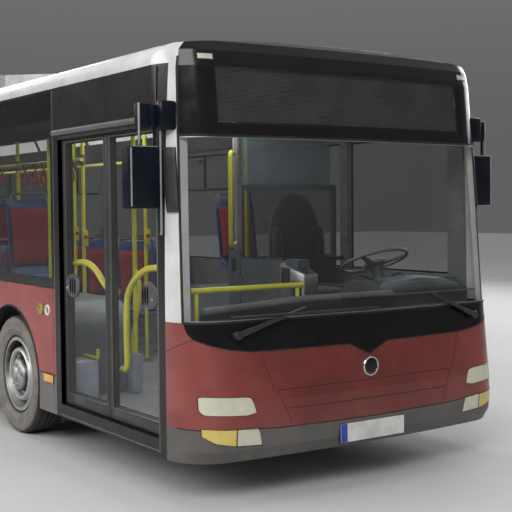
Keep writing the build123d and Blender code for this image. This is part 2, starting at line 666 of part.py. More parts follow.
REAR_TUBE = 85
DISC_FACE = (TYRE_WIDTH + TWIN_SPACING) / 2
TUBE_END = TYRE_OUTER_FACE - DISC_FACE - 7
SHAFT_END = TYRE_OUTER_FACE - 158
rear_axle = crossbar(REAR_AXLE, (-TUBE_END, TUBE_END), TYRE_RADIUS, REAR_TUBE)
rear_axle = rear_axle + Pos(at_station(REAR_AXLE), 0, TYRE_RADIUS) * Sphere(180)
rear_axle = rear_axle + crossbar(REAR_AXLE, (-SHAFT_END, SHAFT_END), TYRE_RADIUS, REAR_BORE - BEARING_GAP)
for side in (-1, 1):
    seat = block((REAR_AXLE - 90, REAR_AXLE + 90), (side * 340, side * 460), (TYRE_RADIUS, HIGH_RAIL[0]))
    rear_axle = rear_axle + seat

engine_stations = (REAR_AXLE + AXLE_TO_ENGINE, BODY_LENGTH - ENGINE_TO_TAIL)
engine_block = block(engine_stations, (-RAIL_Y + RAIL_WIDTH / 2, RAIL_Y - RAIL_WIDTH / 2), (290, 715))

# Wheels


def revolve_wheel(points, x, y_out, side):
    """Ring from (distance in from the outer face, radius) points, about the axle line."""
    corners = [(x, side * (y_out - d), TYRE_RADIUS + r) for d, r in points]
    face = make_face(Polyline(*corners, close=True))
    return revolve(face, axis=Axis((x, 0, TYRE_RADIUS), (0, 1, 0)), revolution_arc=360)


TYRE_SECTION = ((45, RIM_RADIUS), (12, 320), (0, 375), (8, 425), (30, TYRE_RADIUS - 2),
                (TYRE_WIDTH / 2, TYRE_RADIUS), (TYRE_WIDTH - 30, TYRE_RADIUS - 2), (TYRE_WIDTH - 8, 425),
                (TYRE_WIDTH, 375), (TYRE_WIDTH - 12, 320), (TYRE_WIDTH - 45, RIM_RADIUS))
RIM_EDGE = (TYRE_WIDTH - RIM_WIDTH) / 2
FRONT_RIM_SECTION = ((RIM_EDGE, RIM_RADIUS - 1), (RIM_EDGE, RIM_RADIUS - 22), (70, RIM_RADIUS - 40),
                     (44, 210), (30, 180), (30, 98), (52, 98), (52, 180), (62, 205), (88, RIM_RADIUS - 52),
                     (TYRE_WIDTH - RIM_EDGE, RIM_RADIUS - 34), (TYRE_WIDTH - RIM_EDGE, RIM_RADIUS - 1))
REAR_RIM_SECTION = ((RIM_EDGE, RIM_RADIUS - 1), (RIM_EDGE, RIM_RADIUS - 22), (150, RIM_RADIUS - 45),
                    (DISC_FACE - 50, RIM_RADIUS - 62), (DISC_FACE - 14, 200), (DISC_FACE - 14, 141),
                    (DISC_FACE, 141), (DISC_FACE, 208), (TYRE_WIDTH - RIM_EDGE + 5, RIM_RADIUS - 45),
                    (TYRE_WIDTH - RIM_EDGE, RIM_RADIUS - 22), (TYRE_WIDTH - RIM_EDGE, RIM_RADIUS - 1))
FRONT_HUB_SECTION = ((-18, 0), (-18, 50), (-4, 78), (30, 90), (30, 98), (52, 98), (52, 94), (140, 94),
                     (140, FRONT_BORE), (60, FRONT_BORE), (60, 0))
REAR_HUB_SECTION = ((118, 0), (118, 62), (132, 96), (156, 112), (240, 120), (DISC_FACE - 14, 141),
                    (DISC_FACE, 141), (DISC_FACE, REAR_BORE), (150, REAR_BORE), (150, 0))


def wheel(axle, side, y_out, rim_section, hub_section):
    """Rim with its hub, and tyre."""
    x = at_station(axle)
    rim = revolve_wheel(rim_section, x, y_out, side)
    hub = revolve_wheel(hub_section, x, y_out, side)
    tyre = revolve_wheel(TYRE_SECTION, x, y_out, side)
    return rim, hub, tyre


# Doors

DOOR_NAMES = {FRONT_DOOR: "front_door", MIDDLE_DOOR: "middle_door"}
STILE = 42
LEAF_FOOT = 78
LEAF_HEAD = 34
LEAF_GLASS_LAP = 14
TOP_ARM = (LEAF_TOP + ARM_CLEARANCE, LEAF_TOP + ARM_CLEARANCE + ARM_THICKNESS)
LOW_ARM = (LEAF_BOTTOM - ARM_CLEARANCE - ARM_THICKNESS, LEAF_BOTTOM - ARM_CLEARANCE)
HEADER_BOTTOM = 2275
HEADER_TOP = 2520
HEADER_INNER_Y = -1000
TRACK_BOTTOM = 2245
LEAF_START = JAMB_TO_POST + LEAF_EDGE_GAP
LEAF_END = LINK_SPAN + ROLLER_SET_BACK
HANDLE_RADIUS = 14
HANDLE_SIDES = 8
HANDLE_BEND = 45
HANDLE_STAND_OFF = 40
# Grab rails: (edge of the leaf, distance from that edge, height)
HANDLE_PATHS = {
    -1: ((LEAF_START, 8, 1339), (LEAF_START, 153, 1339), (LEAF_END, -125, 1090), (LEAF_END, -99, 689),
         (LEAF_END, -19, 689)),
    1: ((LEAF_START, 9, 1331), (LEAF_START, 135, 1331), (LEAF_END, -253, 1185), (LEAF_END, -18, 1185)),
}


def leaf_block(post_x, way, u_range, y_range, z_range):
    """Box given by its distances from the post along the door."""
    x0, x1 = post_x + way * u_range[0], post_x + way * u_range[1]
    centre = Pos((x0 + x1) / 2, sum(y_range) / 2, sum(z_range) / 2)
    return centre * Box(abs(x1 - x0), abs(y_range[1] - y_range[0]), abs(z_range[1] - z_range[0]))


def door_arm(post_x, way):
    """Turning post with an arm over the leaf and one under it."""
    y = -PIVOT_LINE_Y
    post = upright(post_x, y, (FLOOR_TOP + SEAT_GAP, TRACK_BOTTOM - SEAT_GAP), POST_RADIUS)
    arms = [post]
    for heights in (LOW_ARM, TOP_ARM):
        arm_y = (y - ARM_WIDTH / 2, y + ARM_WIDTH / 2)
        arms.append(leaf_block(post_x, way, (0, ARM_LENGTH), arm_y, heights))
        arms.append(upright(post_x + way * ARM_LENGTH, y, heights, ARM_WIDTH / 2 + 4))
    arm = fused(arms)
    for heights in (LOW_ARM, TOP_ARM):
        grown = (heights[0] - 1, heights[1] + 1)
        arm = arm - upright(post_x + way * ARM_LENGTH, y, grown, PIN_RADIUS + PIN_CLEARANCE)
    return arm


def door_leaf(post_x, way):
    """Framed leaf with pivot lugs, roller pin and a bent grab rail, and its pane."""
    outer, inner = -LEAF_OUTER_Y, -LEAF_INNER_Y
    frame = leaf_block(post_x, way, (LEAF_START, LEAF_END), (outer, inner), (LEAF_BOTTOM, LEAF_TOP))
    u_glass = (LEAF_START + STILE, LEAF_END - STILE)
    z_glass = (LEAF_BOTTOM + LEAF_FOOT, LEAF_TOP - LEAF_HEAD)
    frame = frame - leaf_block(post_x, way, u_glass, (outer - 1, inner + 1), z_glass)
    pane = leaf_block(post_x, way, (u_glass[0] - LEAF_GLASS_LAP, u_glass[1] + LEAF_GLASS_LAP),
                      (outer, outer + PANE), (z_glass[0] - LEAF_GLASS_LAP, z_glass[1] + LEAF_GLASS_LAP))
    frame = frame - pane
    lug_y = (inner, -PIVOT_LINE_Y + ARM_WIDTH / 2)
    extras = []
    for u in (ARM_LENGTH, LINK_SPAN):
        extras.append(leaf_block(post_x, way, (u - 24, u + 24), lug_y, (LEAF_TOP - LEAF_HEAD, LEAF_TOP)))
    low_lug = (LEAF_BOTTOM, LEAF_BOTTOM + 30)
    extras.append(leaf_block(post_x, way, (ARM_LENGTH - 24, ARM_LENGTH + 24), lug_y, low_lug))
    pivot_x = post_x + way * ARM_LENGTH
    roller_x = post_x + way * LINK_SPAN
    extras.append(upright(pivot_x, -PIVOT_LINE_Y, (LEAF_TOP - 10, TOP_ARM[1]), PIN_RADIUS))
    extras.append(upright(pivot_x, -PIVOT_LINE_Y, (LOW_ARM[0], LEAF_BOTTOM + 10), PIN_RADIUS))
    extras.append(upright(roller_x, -PIVOT_LINE_Y, (LEAF_TOP - 10, TRACK_BOTTOM + 20), PIN_RADIUS))
    rail_y = inner + HANDLE_STAND_OFF
    rail_points = [(post_x + way * (edge + offset), rail_y, z) for edge, offset, z in HANDLE_PATHS[way]]
    path = FilletPolyline(*rail_points, radius=HANDLE_BEND)
    section = Plane(path @ 0, z_dir=path % 0) * RegularPolygon(HANDLE_RADIUS, HANDLE_SIDES)
    extras.append(sweep(section, path=path))
    for x, _, z in (rail_points[0], rail_points[-1]):
        foot = Pos(x, (inner + rail_y) / 2, z) * Rot(90, 0, 0)
        extras.append(foot * Cylinder(HANDLE_RADIUS, HANDLE_STAND_OFF))
    return fused([frame] + extras), pane


def door_header(door):
    """Cover over the door gear, with the roller track and the posts' upper bearings."""
    ends = (door - JAMB, door + DOOR_OPENING + JAMB)
    cover = block(ends, (-WALL_INNER_Y, HEADER_INNER_Y), (HEADER_BOTTOM, HEADER_TOP))
    y = -PIVOT_LINE_Y
    track_ends = (door + 30, door + DOOR_OPENING - 30)
    parts = [cover]
    for offset in (-16, 16):
        parts.append(block(track_ends, (y + offset - 2, y + offset + 2), (TRACK_BOTTOM, HEADER_BOTTOM)))
    for station in (door - JAMB_TO_POST, door + DOOR_OPENING + JAMB_TO_POST):
        parts.append(block((station - 28, station + 28), (y - 28, y + 28), (TRACK_BOTTOM, HEADER_BOTTOM)))
    return fused(parts) - nose_shell


# Mirrors and wipers

PILLAR_TOE = 62


def mirror_set():
    """Left outside mirror: foot on the pillar, stepped arm, two rods and the housing."""
    housing = Pos(at_station(425), 1372, 1902) * Box(75, 215, 360)
    housing = fillet(housing.edges().filter_by(Axis.X), 30)
    foot = block((342, 384), (1190, 1300), (2215, 2292)) - front_hull
    arm_outline = ((1262, 2225), (1290, 2225), (1310, 2250), (1440, 2250), (1440, 2275), (1300, 2275), (1262, 2290))
    bracket = front_prism(arm_outline, (342, 445))
    rods = [upright(at_station(425), y, (2060, 2262), 8) for y in (1335, 1410)]
    return fused([housing, foot, bracket] + rods)


WIPER_ARM = 9
WIPER_BLADE = 10
WIPER_HUB = 26
BLADE_LIFT = 22
ARM_LIFT = BLADE_LIFT + WIPER_ARM + WIPER_BLADE + SEAT_GAP
WIPER_PIVOT_Z = 990
HUB_LENGTH = 50
HUB_LIFT = 29.8
SCREEN_RAKE = 0.0959


def off_glass(y, z, lift):
    """Point ahead of the curved windscreen."""
    set_back = PILLAR_TOE + (z - WINDSCREEN_BOTTOM) * SCREEN_RAKE
    return (HALF_LENGTH - set_back - y * y / (2 * FRONT_FACE_RADIUS) + lift, y, z)


def wiper(pivot_y, tip_y, blade_y, blade_z):
    """Wiper arm with its hub, and the curved blade that the arm's end lies on."""
    ends = [off_glass(pivot_y, WIPER_PIVOT_Z, ARM_LIFT), off_glass(tip_y, blade_z, ARM_LIFT)]
    arm = tube_path(ends, WIPER_ARM, 1)
    hub = Pos(*off_glass(pivot_y, WIPER_PIVOT_Z, HUB_LIFT)) * Rot(0, 90, 0) * Cylinder(WIPER_HUB, HUB_LENGTH)
    middle = sum(blade_y) / 2
    stops = [off_glass(y, blade_z, BLADE_LIFT) for y in (blade_y[0], middle, blade_y[1])]
    arc = ThreePointArc(*stops)
    blade = sweep(Plane(arc @ 0, z_dir=arc % 0) * Rectangle(2 * WIPER_BLADE, 2 * WIPER_BLADE), path=arc)
    return [arm + hub, blade]


# Driver's place

DASH_TOP = 1040
dashboard = fused([
    block((205, 375), (-1080, 1080), (880, DASH_TOP)),
    side_prism(((300, 900), (300, 1160), (420, 1225), (640, 1215), (690, 1120), (690, 900)), (300, 1120)),
    block((375, 560), (420, 900), (PODIUM_TOP, 900)),
])

STEERING_CENTRE = (at_station(735), 645, 1338)
STEERING_RADIUS = 236
GRIP_RADIUS = 14
GRIP_SIDES = 8
STEERING_TILT = -22
grip = revolve(Plane.XZ * Pos(STEERING_RADIUS, 0) * RegularPolygon(GRIP_RADIUS, GRIP_SIDES), Axis.Z)
spokes = Box(2 * STEERING_RADIUS, 34, 14) + Box(34, 2 * STEERING_RADIUS, 14)
steering_wheel = Pos(*STEERING_CENTRE) * Rot(0, STEERING_TILT, 0) * (grip + Cylinder(60, 34) + spokes)
steering_column = tube_path([(at_station(560), 645, 950), STEERING_CENTRE], 30, 1) - dashboard


def rounded_slab(centre, size, radius, plane):
    """Slab in a plane, its outline's four corners rounded."""
    outline = plane * RectangleRounded(size[0], size[1], radius)
    return Pos(*centre) * extrude(outline, amount=size[2] / 2, both=True)


seat_x = at_station(1565)
back_x = at_station(1725)
driver_seat = fused([
    rounded_slab((seat_x, 645, 1060), (470, 500, 100), 70, Plane.XY),
    rounded_slab((back_x, 645, 1350), (500, 580, 130), 120, Plane.YZ),
    rounded_slab((back_x, 645, 1690), (330, 300, 100), 110, Plane.YZ),
    block((1420, 1700), (520, 770), (PODIUM_TOP, 1020)),
])

CAB_DOOR = (1120, 1700)
CAB_DOOR_GAP = 10
CAB_DOOR_HEIGHTS = (PODIUM_TOP + 12, 1340)
CAB_HINGE_Y = CAB_WALL_Y - 9
CAB_HINGES = ((700, 780), (1160, 1240))
cab_hinge_x = at_station(CAB_DOOR[1] + CAB_DOOR_GAP / 2)
CAB_BACK = (1840, 1865)
CAB_PANEL_TOP = 1340
CAB_SCREEN_TOP = 1900
CAB_FRAME = 40
screen_y = (CAB_WALL_Y + CAB_FRAME, WALL_INNER_Y - CAB_FRAME)
screen_heights = (CAB_PANEL_TOP, CAB_SCREEN_TOP - CAB_FRAME)
screen_middle = sum(CAB_BACK) / 2
cab_pane = block((screen_middle - PANE / 2, screen_middle + PANE / 2),
                 (screen_y[0] + SEAT_GAP, screen_y[1] - SEAT_GAP),
                 (screen_heights[0] + SEAT_GAP, screen_heights[1] - SEAT_GAP))
cab_back = block(CAB_BACK, (CAB_WALL_Y, WALL_INNER_Y), (FLOOR_TOP, CAB_SCREEN_TOP))
cab_partition = fused([
    cab_back - block(CAB_BACK, screen_y, screen_heights),
    block((CAB_DOOR[1] + CAB_DOOR_GAP, 1840), (CAB_WALL_Y, CAB_WALL_Y + CAB_WALL), (FLOOR_TOP, 1400)),
    block((560, CAB_DOOR[0] - CAB_DOOR_GAP), (CAB_WALL_Y - 120, CAB_WALL_Y + CAB_WALL), (FLOOR_TOP, 1080)),
    rounded_slab((at_station(935), CAB_WALL_Y - 35, 1215), (150, 110, 290), 16, Plane.XY),
])
cab_door = block(CAB_DOOR, (CAB_WALL_Y, CAB_WALL_Y + CAB_WALL), CAB_DOOR_HEIGHTS)
for low, high in CAB_HINGES:
    middle = (low + high) / 2
    door_eye = upright(cab_hinge_x, CAB_HINGE_Y, (low, middle - 1), 9)
    door_lug = block((CAB_DOOR[1] - 40, CAB_DOOR[1]), (CAB_HINGE_Y - 4, CAB_WALL_Y + 1), (low, middle - 1))
    cab_door = cab_door + door_eye + door_lug
    cab_door = cab_door - upright(cab_hinge_x, CAB_HINGE_Y, (low - 1, middle), HINGE_PIN + HINGE_GAP)
    fixed_eye = upright(cab_hinge_x, CAB_HINGE_Y, (middle + 1, high), 9)
    fixed_lug = block((CAB_DOOR[1] + CAB_DOOR_GAP, CAB_DOOR[1] + CAB_DOOR_GAP + 40),
                      (CAB_HINGE_Y - 4, CAB_WALL_Y + 1), (middle + 1, high))
    cab_pin = upright(cab_hinge_x, CAB_HINGE_Y, (low, high), HINGE_PIN)
    cab_partition = cab_partition + fixed_eye + fixed_lug + cab_pin

# Saloon

SEAT_WIDTH = 410
SEAT_HEIGHT = 440
SEAT_SPACING = 15
WALL_SPACING = 10
PAN_LENGTH = 400
PAN_THICKNESS = 60
PAN_CORNER = 50
BACK_HEIGHT = 600
BACK_THICKNESS = 50
BACK_LEAN = 90
BACK_CORNER = 70
front_box_roof = BOX_TOP[FRONT_AXLE] + BOX_PLATE
rear_box_roof = BOX_TOP[REAR_AXLE] + BOX_PLATE
# (side, seats side by side, station of the pans' front edge, floor level, what the leg stands on)
SEAT_ROWS = ((-1, 1, 2560, DECK_TOP, front_box_roof), (1, 1, 2560, DECK_TOP, front_box_roof),
             (-1, 2, 3700, FLOOR_TOP, FLOOR_TOP), (-1, 2, 4400, FLOOR_TOP, FLOOR_TOP),
             (1, 2, 3700, FLOOR_TOP, FLOOR_TOP), (1, 2, 4420, FLOOR_TOP, FLOOR_TOP),
             (1, 2, 5140, FLOOR_TOP, FLOOR_TOP), (1, 2, 5860, FLOOR_TOP, FLOOR_TOP),
             (-1, 2, 7400, DECK_TOP, DECK_TOP), (1, 2, 7400, DECK_TOP, DECK_TOP),
             (-1, 2, 8230, DECK_TOP, rear_box_roof), (1, 2, 8230, DECK_TOP, rear_box_roof))
# Paired rows on both sides between the rear wheel boxes and the bench
REAR_ROWS = range(REAR_AXLE + 725, BENCH_STATION - 700, 720)
BENCH_SEATS = 5
BENCH_SPACING = 26
BENCH_PAN = 130


def seat(station, y, pan_heights):
    """Moulded pan and back of a seat facing forward, its pan's front edge at the station."""
    top = pan_heights[1]
    y_range = (y - SEAT_WIDTH / 2, y + SEAT_WIDTH / 2)
    pan = block((station, station + PAN_LENGTH), y_range, pan_heights)
    front_edges = [e for e in pan.edges().filter_by(Axis.Z) if e.center().X > at_station(station) - 1]
    start = station + PAN_LENGTH + SEAT_GAP
    head = start + BACK_LEAN + BACK_THICKNESS
    outline = ((start, top - PAN_THICKNESS), (start + BACK_THICKNESS, top - PAN_THICKNESS + 20),
               (head, top + BACK_HEIGHT), (head - BACK_THICKNESS, top + BACK_HEIGHT), (start, top + 20))
    back = side_prism(outline, y_range)
    head_edges = [e for e in back.edges().filter_by(Axis.X) if e.center().Z > top + BACK_HEIGHT - 1]
    return [fillet(front_edges, PAN_CORNER), fillet(head_edges, BACK_CORNER)]


def seat_row(side, count, station, base, foot):
    """Seats side by side at the wall, and the leg with the cross beam that carries them."""
    pan_top = base + SEAT_HEIGHT
    pan_heights = (pan_top - PAN_THICKNESS, pan_top)
    parts = []
    for index in range(count):
        offset = WALL_SPACING + index * (SEAT_WIDTH + SEAT_SPACING) + SEAT_WIDTH / 2
        parts = parts + seat(station, side * (WALL_INNER_Y - offset), pan_heights)
    beam_top = pan_heights[0] - SEAT_GAP
    reach = WALL_SPACING + count * SEAT_WIDTH
    beam_y = (side * (WALL_INNER_Y - 60), side * (WALL_INNER_Y - reach + 60))
    leg_middle = WALL_INNER_Y - reach / 2
    leg_y = (side * (leg_middle - 50), side * (leg_middle + 50))
    beam = block((station + 120, station + 320), beam_y, (beam_top - 30, beam_top))
    leg = block((station + 180, station + 260), leg_y, (foot, beam_top))
    return parts + [beam + leg]


seats = [piece for row in SEAT_ROWS for piece in seat_row(*row)]
for station in REAR_ROWS:
    for side in (-1, 1):
        seats = seats + seat_row(side, 2, station, DECK_TOP, DECK_TOP)
bench_base = DECK_TOP + BENCH_STEP
for index in range(BENCH_SEATS):
    y = (index - (BENCH_SEATS - 1) / 2) * (SEAT_WIDTH + BENCH_SPACING)
    seats = seats + seat(BENCH_STATION, y, (bench_base, bench_base + BENCH_PAN))

POLE = 17
RAIL_Z = 2150
RAIL_LINE_Y = 305
RAIL_OVERHANG = 60
rail_bar_y = RAIL_LINE_Y + 2 * POLE + SEAT_GAP
# Upright poles: (side, station, floor they stand on)
behind_axle = REAR_AXLE + 625
before_bench = BENCH_STATION - 260
POLES = ((-1, 3480, FLOOR_TOP), (-1, 4960, FLOOR_TOP), (-1, 7300, DECK_TOP), (-1, behind_axle, DECK_TOP),
         (-1, before_bench, DECK_TOP), (1, 3480, FLOOR_TOP), (1, 4980, FLOOR_TOP), (1, 6500, FLOOR_TOP),
         (1, 7300, DECK_TOP), (1, behind_axle, DECK_TOP), (1, before_bench, DECK_TOP))
# Poles beside the front doorway and the cab: (station, y)
FRONT_POLES = ((2060, -560), (2010, 420))
FRONT_BAR_STATION = 350
FRONT_BAR_Z = 1236
FRONT_BAR_Y = (-1102, -276)
FRONT_BAR_POSTS = (-1060, -320)


def pole(station, y, base):
    """Upright from the floor to the ceiling."""
    return upright(at_station(station), y, (base, ceiling(abs(y) + POLE) - SEAT_GAP), POLE)


rails = []
for side in (-1, 1):
    stations = [station for row_side, station, _ in POLES if row_side == side]
    ends = (min(stations) - RAIL_OVERHANG, max(stations) + RAIL_OVERHANG)
    bar = Rot(0, 90, 0) * Cylinder(POLE, ends[1] - ends[0])
    rails.append(Pos(at_station(sum(ends) / 2), side * rail_bar_y, RAIL_Z) * bar)
for side, station, base in POLES:
    rails.append(pole(station, side * RAIL_LINE_Y, base))
for station, y in FRONT_POLES:
    rails.append(pole(station, y, FLOOR_TOP))
rails.append(crossbar(FRONT_BAR_STATION, FRONT_BAR_Y, FRONT_BAR_Z, POLE))
for y in FRONT_BAR_POSTS:
    post_heights = (DASH_TOP, FRONT_BAR_Z - POLE - SEAT_GAP)
    rails.append(upright(at_station(FRONT_BAR_STATION), y, post_heights, POLE - 4))

# Write the nodes

os.makedirs("parts", exist_ok=True)

save("floor", floor)
save("rear_deck", [rear_deck, stairs])
save("floor_boxes", floor_boxes)
save("underframe", fused(frame_parts))
save("side_wall_left", side_wall_left)
save("side_wall_right", side_wall_right)
save("roof", roof)
save("roof_unit", [roof_unit_solid] + hatches)
save("front_panel", front_panel)
save("front_band", front_band)
save("bumpers", [front_bumper, rear_bumper])
save("display_housing", display_housing)
save("sign_panes", [front_sign, side_sign, rear_sign])
save("windscreen", windscreen)
save("corner_pillars", corner_pillars)
save("window_panes", right_panes + left_panes + [rear_window, cab_pane])
save("rear_wall", rear_wall)
save("engine_flap", engine_flap)
save("lamps", head_lamps + low_lamps + tail_lamps)
save("mirrors", pair(mirror_set()))
save("wipers", wiper(-950, -500, (-1000, 80), 1107) + wiper(950, 513, (-200, 1000), 1168))
save("dashboard", dashboard)
save("steering_wheel", steering_wheel + steering_column)
save("driver_seat", driver_seat)
save("cab_partition", cab_partition)
save("cab_door", cab_door)
save("passenger_seats", seats)
save("handrails", rails)
save("door_headers", [door_header(door) for door in DOORS])
save("front_axle", front_axle)
save("knuckle_right", knuckle(-1))
save("knuckle_left", knuckle(1))
save("tie_rod", tie_rod)
save("rear_axle", rear_axle)
save("engine_block", engine_block)

for side, name in ((-1, "right"), (1, "left")):
    rim, hub, tyre = wheel(FRONT_AXLE, side, TYRE_OUTER_FACE, FRONT_RIM_SECTION, FRONT_HUB_SECTION)
    save(f"front_rim_{name}", rim + hub)
    save(f"front_tyre_{name}", tyre)
    rim, hub, tyre = wheel(REAR_AXLE, side, TYRE_OUTER_FACE, REAR_RIM_SECTION, REAR_HUB_SECTION)
    twin_plane = Plane.XZ.offset(-side * (TYRE_OUTER_FACE - DISC_FACE))
    save(f"rear_rims_{name}", rim + hub + mirror(rim, about=twin_plane))
    save(f"rear_tyres_{name}", [tyre, mirror(tyre, about=twin_plane)])

for door, name in DOOR_NAMES.items():
    posts = ((at_station(door - JAMB_TO_POST), -1), (at_station(door + DOOR_OPENING + JAMB_TO_POST), 1))
    for number, (post_x, way) in enumerate(posts, start=1):
        leaf, pane = door_leaf(post_x, way)
        save(f"{name}_arm_{number}", door_arm(post_x, way))
        save(f"{name}_leaf_{number}", leaf)
        save(f"{name}_glass_{number}", pane)
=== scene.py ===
import bmesh
import bpy
import math
from mathutils import Matrix, Vector


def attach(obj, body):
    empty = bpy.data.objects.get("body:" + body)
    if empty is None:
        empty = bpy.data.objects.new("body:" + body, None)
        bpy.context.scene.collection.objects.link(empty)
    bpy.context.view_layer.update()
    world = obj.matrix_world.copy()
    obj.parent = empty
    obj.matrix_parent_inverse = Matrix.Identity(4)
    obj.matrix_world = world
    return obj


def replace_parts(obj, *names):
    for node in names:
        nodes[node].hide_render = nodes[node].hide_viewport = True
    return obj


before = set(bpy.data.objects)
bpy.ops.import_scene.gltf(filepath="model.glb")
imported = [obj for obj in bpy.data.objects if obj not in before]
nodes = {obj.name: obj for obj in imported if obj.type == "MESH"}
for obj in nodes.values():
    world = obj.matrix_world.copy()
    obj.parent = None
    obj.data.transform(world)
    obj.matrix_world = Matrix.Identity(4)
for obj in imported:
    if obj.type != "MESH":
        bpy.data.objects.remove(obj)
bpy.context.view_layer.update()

# Places that the pieces share with the body, in metres. X runs forward, Y to the bus's left, Z up.
NOSE_X = 5.99
HALF_WIDTH = 1.25
WALL_INNER_Y = 1.19
FRONT_AXLE_X = 3.19
REAR_AXLE_X = -2.685
TYRE_RADIUS = 0.454
FLOOR_TOP = 0.34
SKIRT_TOP = 0.552
WAIST_TOP = 1.166
FRONT_DOOR_X = (5.519, 4.119)
MIDDLE_DOOR_X = (0.93, -0.47)
DOORS = (FRONT_DOOR_X, MIDDLE_DOOR_X)


# Materials


class Value:
    """A node's output that takes part in Python arithmetic."""

    def __init__(self, graph, socket):
        self.graph = graph
        self.socket = socket

    def math(self, operation, *others):
        return self.graph.node("ShaderNodeMath", {"operation": operation}, self, *others)

    def __abs__(self):
        return self.math("ABSOLUTE")

    def clamp(self):
        return self.graph.node("ShaderNodeClamp", None, self)

    def ramp(self, low, high):
        """0 below low and 1 above high, easing in and out."""
        settings = {"interpolation_type": "SMOOTHSTEP"}
        return self.graph.node("ShaderNodeMapRange", settings, self, low, high, 0.0, 1.0)


def forward(operation):
    return lambda value, other: value.math(operation, other)


def reflected(operation):
    return lambda value, other: value.graph.node("ShaderNodeMath", {"operation": operation}, other, value)


for sign, operation in (("add", "ADD"), ("sub", "SUBTRACT"), ("mul", "MULTIPLY"), ("pow", "POWER"),
        ("gt", "GREATER_THAN"), ("lt", "LESS_THAN")):
    setattr(Value, f"__{sign}__", forward(operation))
for sign, operation in (("radd", "ADD"), ("rsub", "SUBTRACT"), ("rmul", "MULTIPLY")):
    setattr(Value, f"__{sign}__", reflected(operation))


class Graph:
    """A material and its node tree."""

    def __init__(self, name, **constants):
        self.material = bpy.data.materials.new(name)
        self.material.use_nodes = True
        self.tree = self.material.node_tree
        self.shader = self.tree.nodes["Principled BSDF"]
        for socket, value in constants.items():
            self.shader.inputs[socket.replace("_", " ")].default_value = value
        self.cache = {}

    def link(self, value, socket):
        if isinstance(value, Value):
            self.tree.links.new(value.socket, socket)
        elif isinstance(value, (tuple, list)) and socket.type == "RGBA" and len(value) == 3:
            socket.default_value = (*value, 1.0)
        else:
            socket.default_value = value

    def node(self, kind, settings=None, *inputs, out=0, **named):
        made = self.tree.nodes.new(kind)
        for key, value in (settings or {}).items():
            setattr(made, key, value)
        for index, value in enumerate(inputs):
            if value is not None:
                self.link(value, made.inputs[index])
        for key, value in named.items():
            self.link(value, made.inputs[key.replace("_", " ")])
        return Value(self, made.outputs[out])

    def place(self):
        """The piece's own coordinates, in metres."""
        if "place" not in self.cache:
            self.cache["place"] = self.node("ShaderNodeTexCoord", None, out=3)
        return self.cache["place"]

    def part(self, key, source, letter):
        """One axis of a vector output, which is split once."""
        if key not in self.cache:
            split = self.tree.nodes.new("ShaderNodeSeparateXYZ")
            self.link(source(), split.inputs[0])
            self.cache[key] = [Value(self, socket) for socket in split.outputs]
        return self.cache[key]["XYZ".index(letter)]

    def axis(self, letter):
        return self.part("axes", self.place, letter)

    def facing(self, letter):
        """The surface normal's share along an axis."""
        return self.part("normals", lambda: self.node("ShaderNodeNewGeometry", None, out=1), letter)

    def noise(self, scale, detail=3.0, rough=0.5):
        return self.node("ShaderNodeTexNoise", None, Vector=self.place(), Scale=scale, Detail=detail, Roughness=rough)

    def cells(self, scale, out=0):
        return self.node("ShaderNodeTexVoronoi", None, out=out, Vector=self.place(), Scale=scale)

    def blend(self, factor, a, b):
        made = self.tree.nodes.new("ShaderNodeMix")
        made.data_type = "RGBA"
        for value, index in ((factor, 0), (a, 6), (b, 7)):
            self.link(value, made.inputs[index])
        return Value(self, made.outputs[2])

    def set(self, socket, value):
        self.link(value, self.shader.inputs[socket])

    def bump(self, height, distance, strength=1.0):
        made = self.node("ShaderNodeBump", None, Strength=strength, Distance=distance, Height=height)
        self.set("Normal", made)


def grime(g, colour, dirt=(0.16, 0.14, 0.12), amount=0.5, top=0.55):
    """Road dust that thickens towards the road, over broad uneven patches."""
    low = 1.0 - g.axis("Z").ramp(0.25, top)
    patch = g.noise(3.5, 6.0, 0.65).ramp(0.38, 0.72)
    return g.blend((low * 0.75 + 0.12) * patch * amount, colour, dirt)


def varied(g, colour, share=0.12, scale=2.2):
    """A colour that drifts a little lighter and darker over the surface."""
    darker = tuple(c * (1.0 - share) for c in colour)
    lighter = tuple(min(1.0, c * (1.0 + share)) for c in colour)
    return g.blend(g.noise(scale, 5.0, 0.6).ramp(0.35, 0.65), darker, lighter)


RED = (0.285, 0.05, 0.042)
# The front and corner reds are darker and lighter copies of the side red: painted shade and light.
RED_FRONT_SHADED = (0.146, 0.022, 0.018)
RED_CORNER_LIT = (0.225, 0.046, 0.037)
WHITE = (0.6, 0.6, 0.59)
GREY_SKIRT = (0.125, 0.12, 0.115)
GLOSS_BLACK = (0.008, 0.008, 0.0085)
YELLOW = (0.66, 0.66, 0.05)


def gloss_paint(g, colour, rough=0.27, coat=0.4):
    """Coated paint with fine orange peel and soft smears in its gloss."""
    g.set("Base Color", colour)
    smear = g.noise(6.0, 6.0, 0.7).ramp(0.35, 0.75)
    fine = g.noise(60.0, 3.0, 0.6)
    g.set("Roughness", smear * 0.16 + fine * 0.05 + (rough - 0.06))
    g.set("Coat Weight", coat)
    g.shader.inputs["Coat Roughness"].default_value = 0.09
    g.bump(g.noise(420.0, 2.0, 0.5), 0.0004, 0.12)


def make_paint(name, colour, rough=0.27, dirt=0.5, coat=0.4):
    g = Graph(name)
    gloss_paint(g, grime(g, varied(g, colour), amount=dirt), rough, coat)
    return g.material


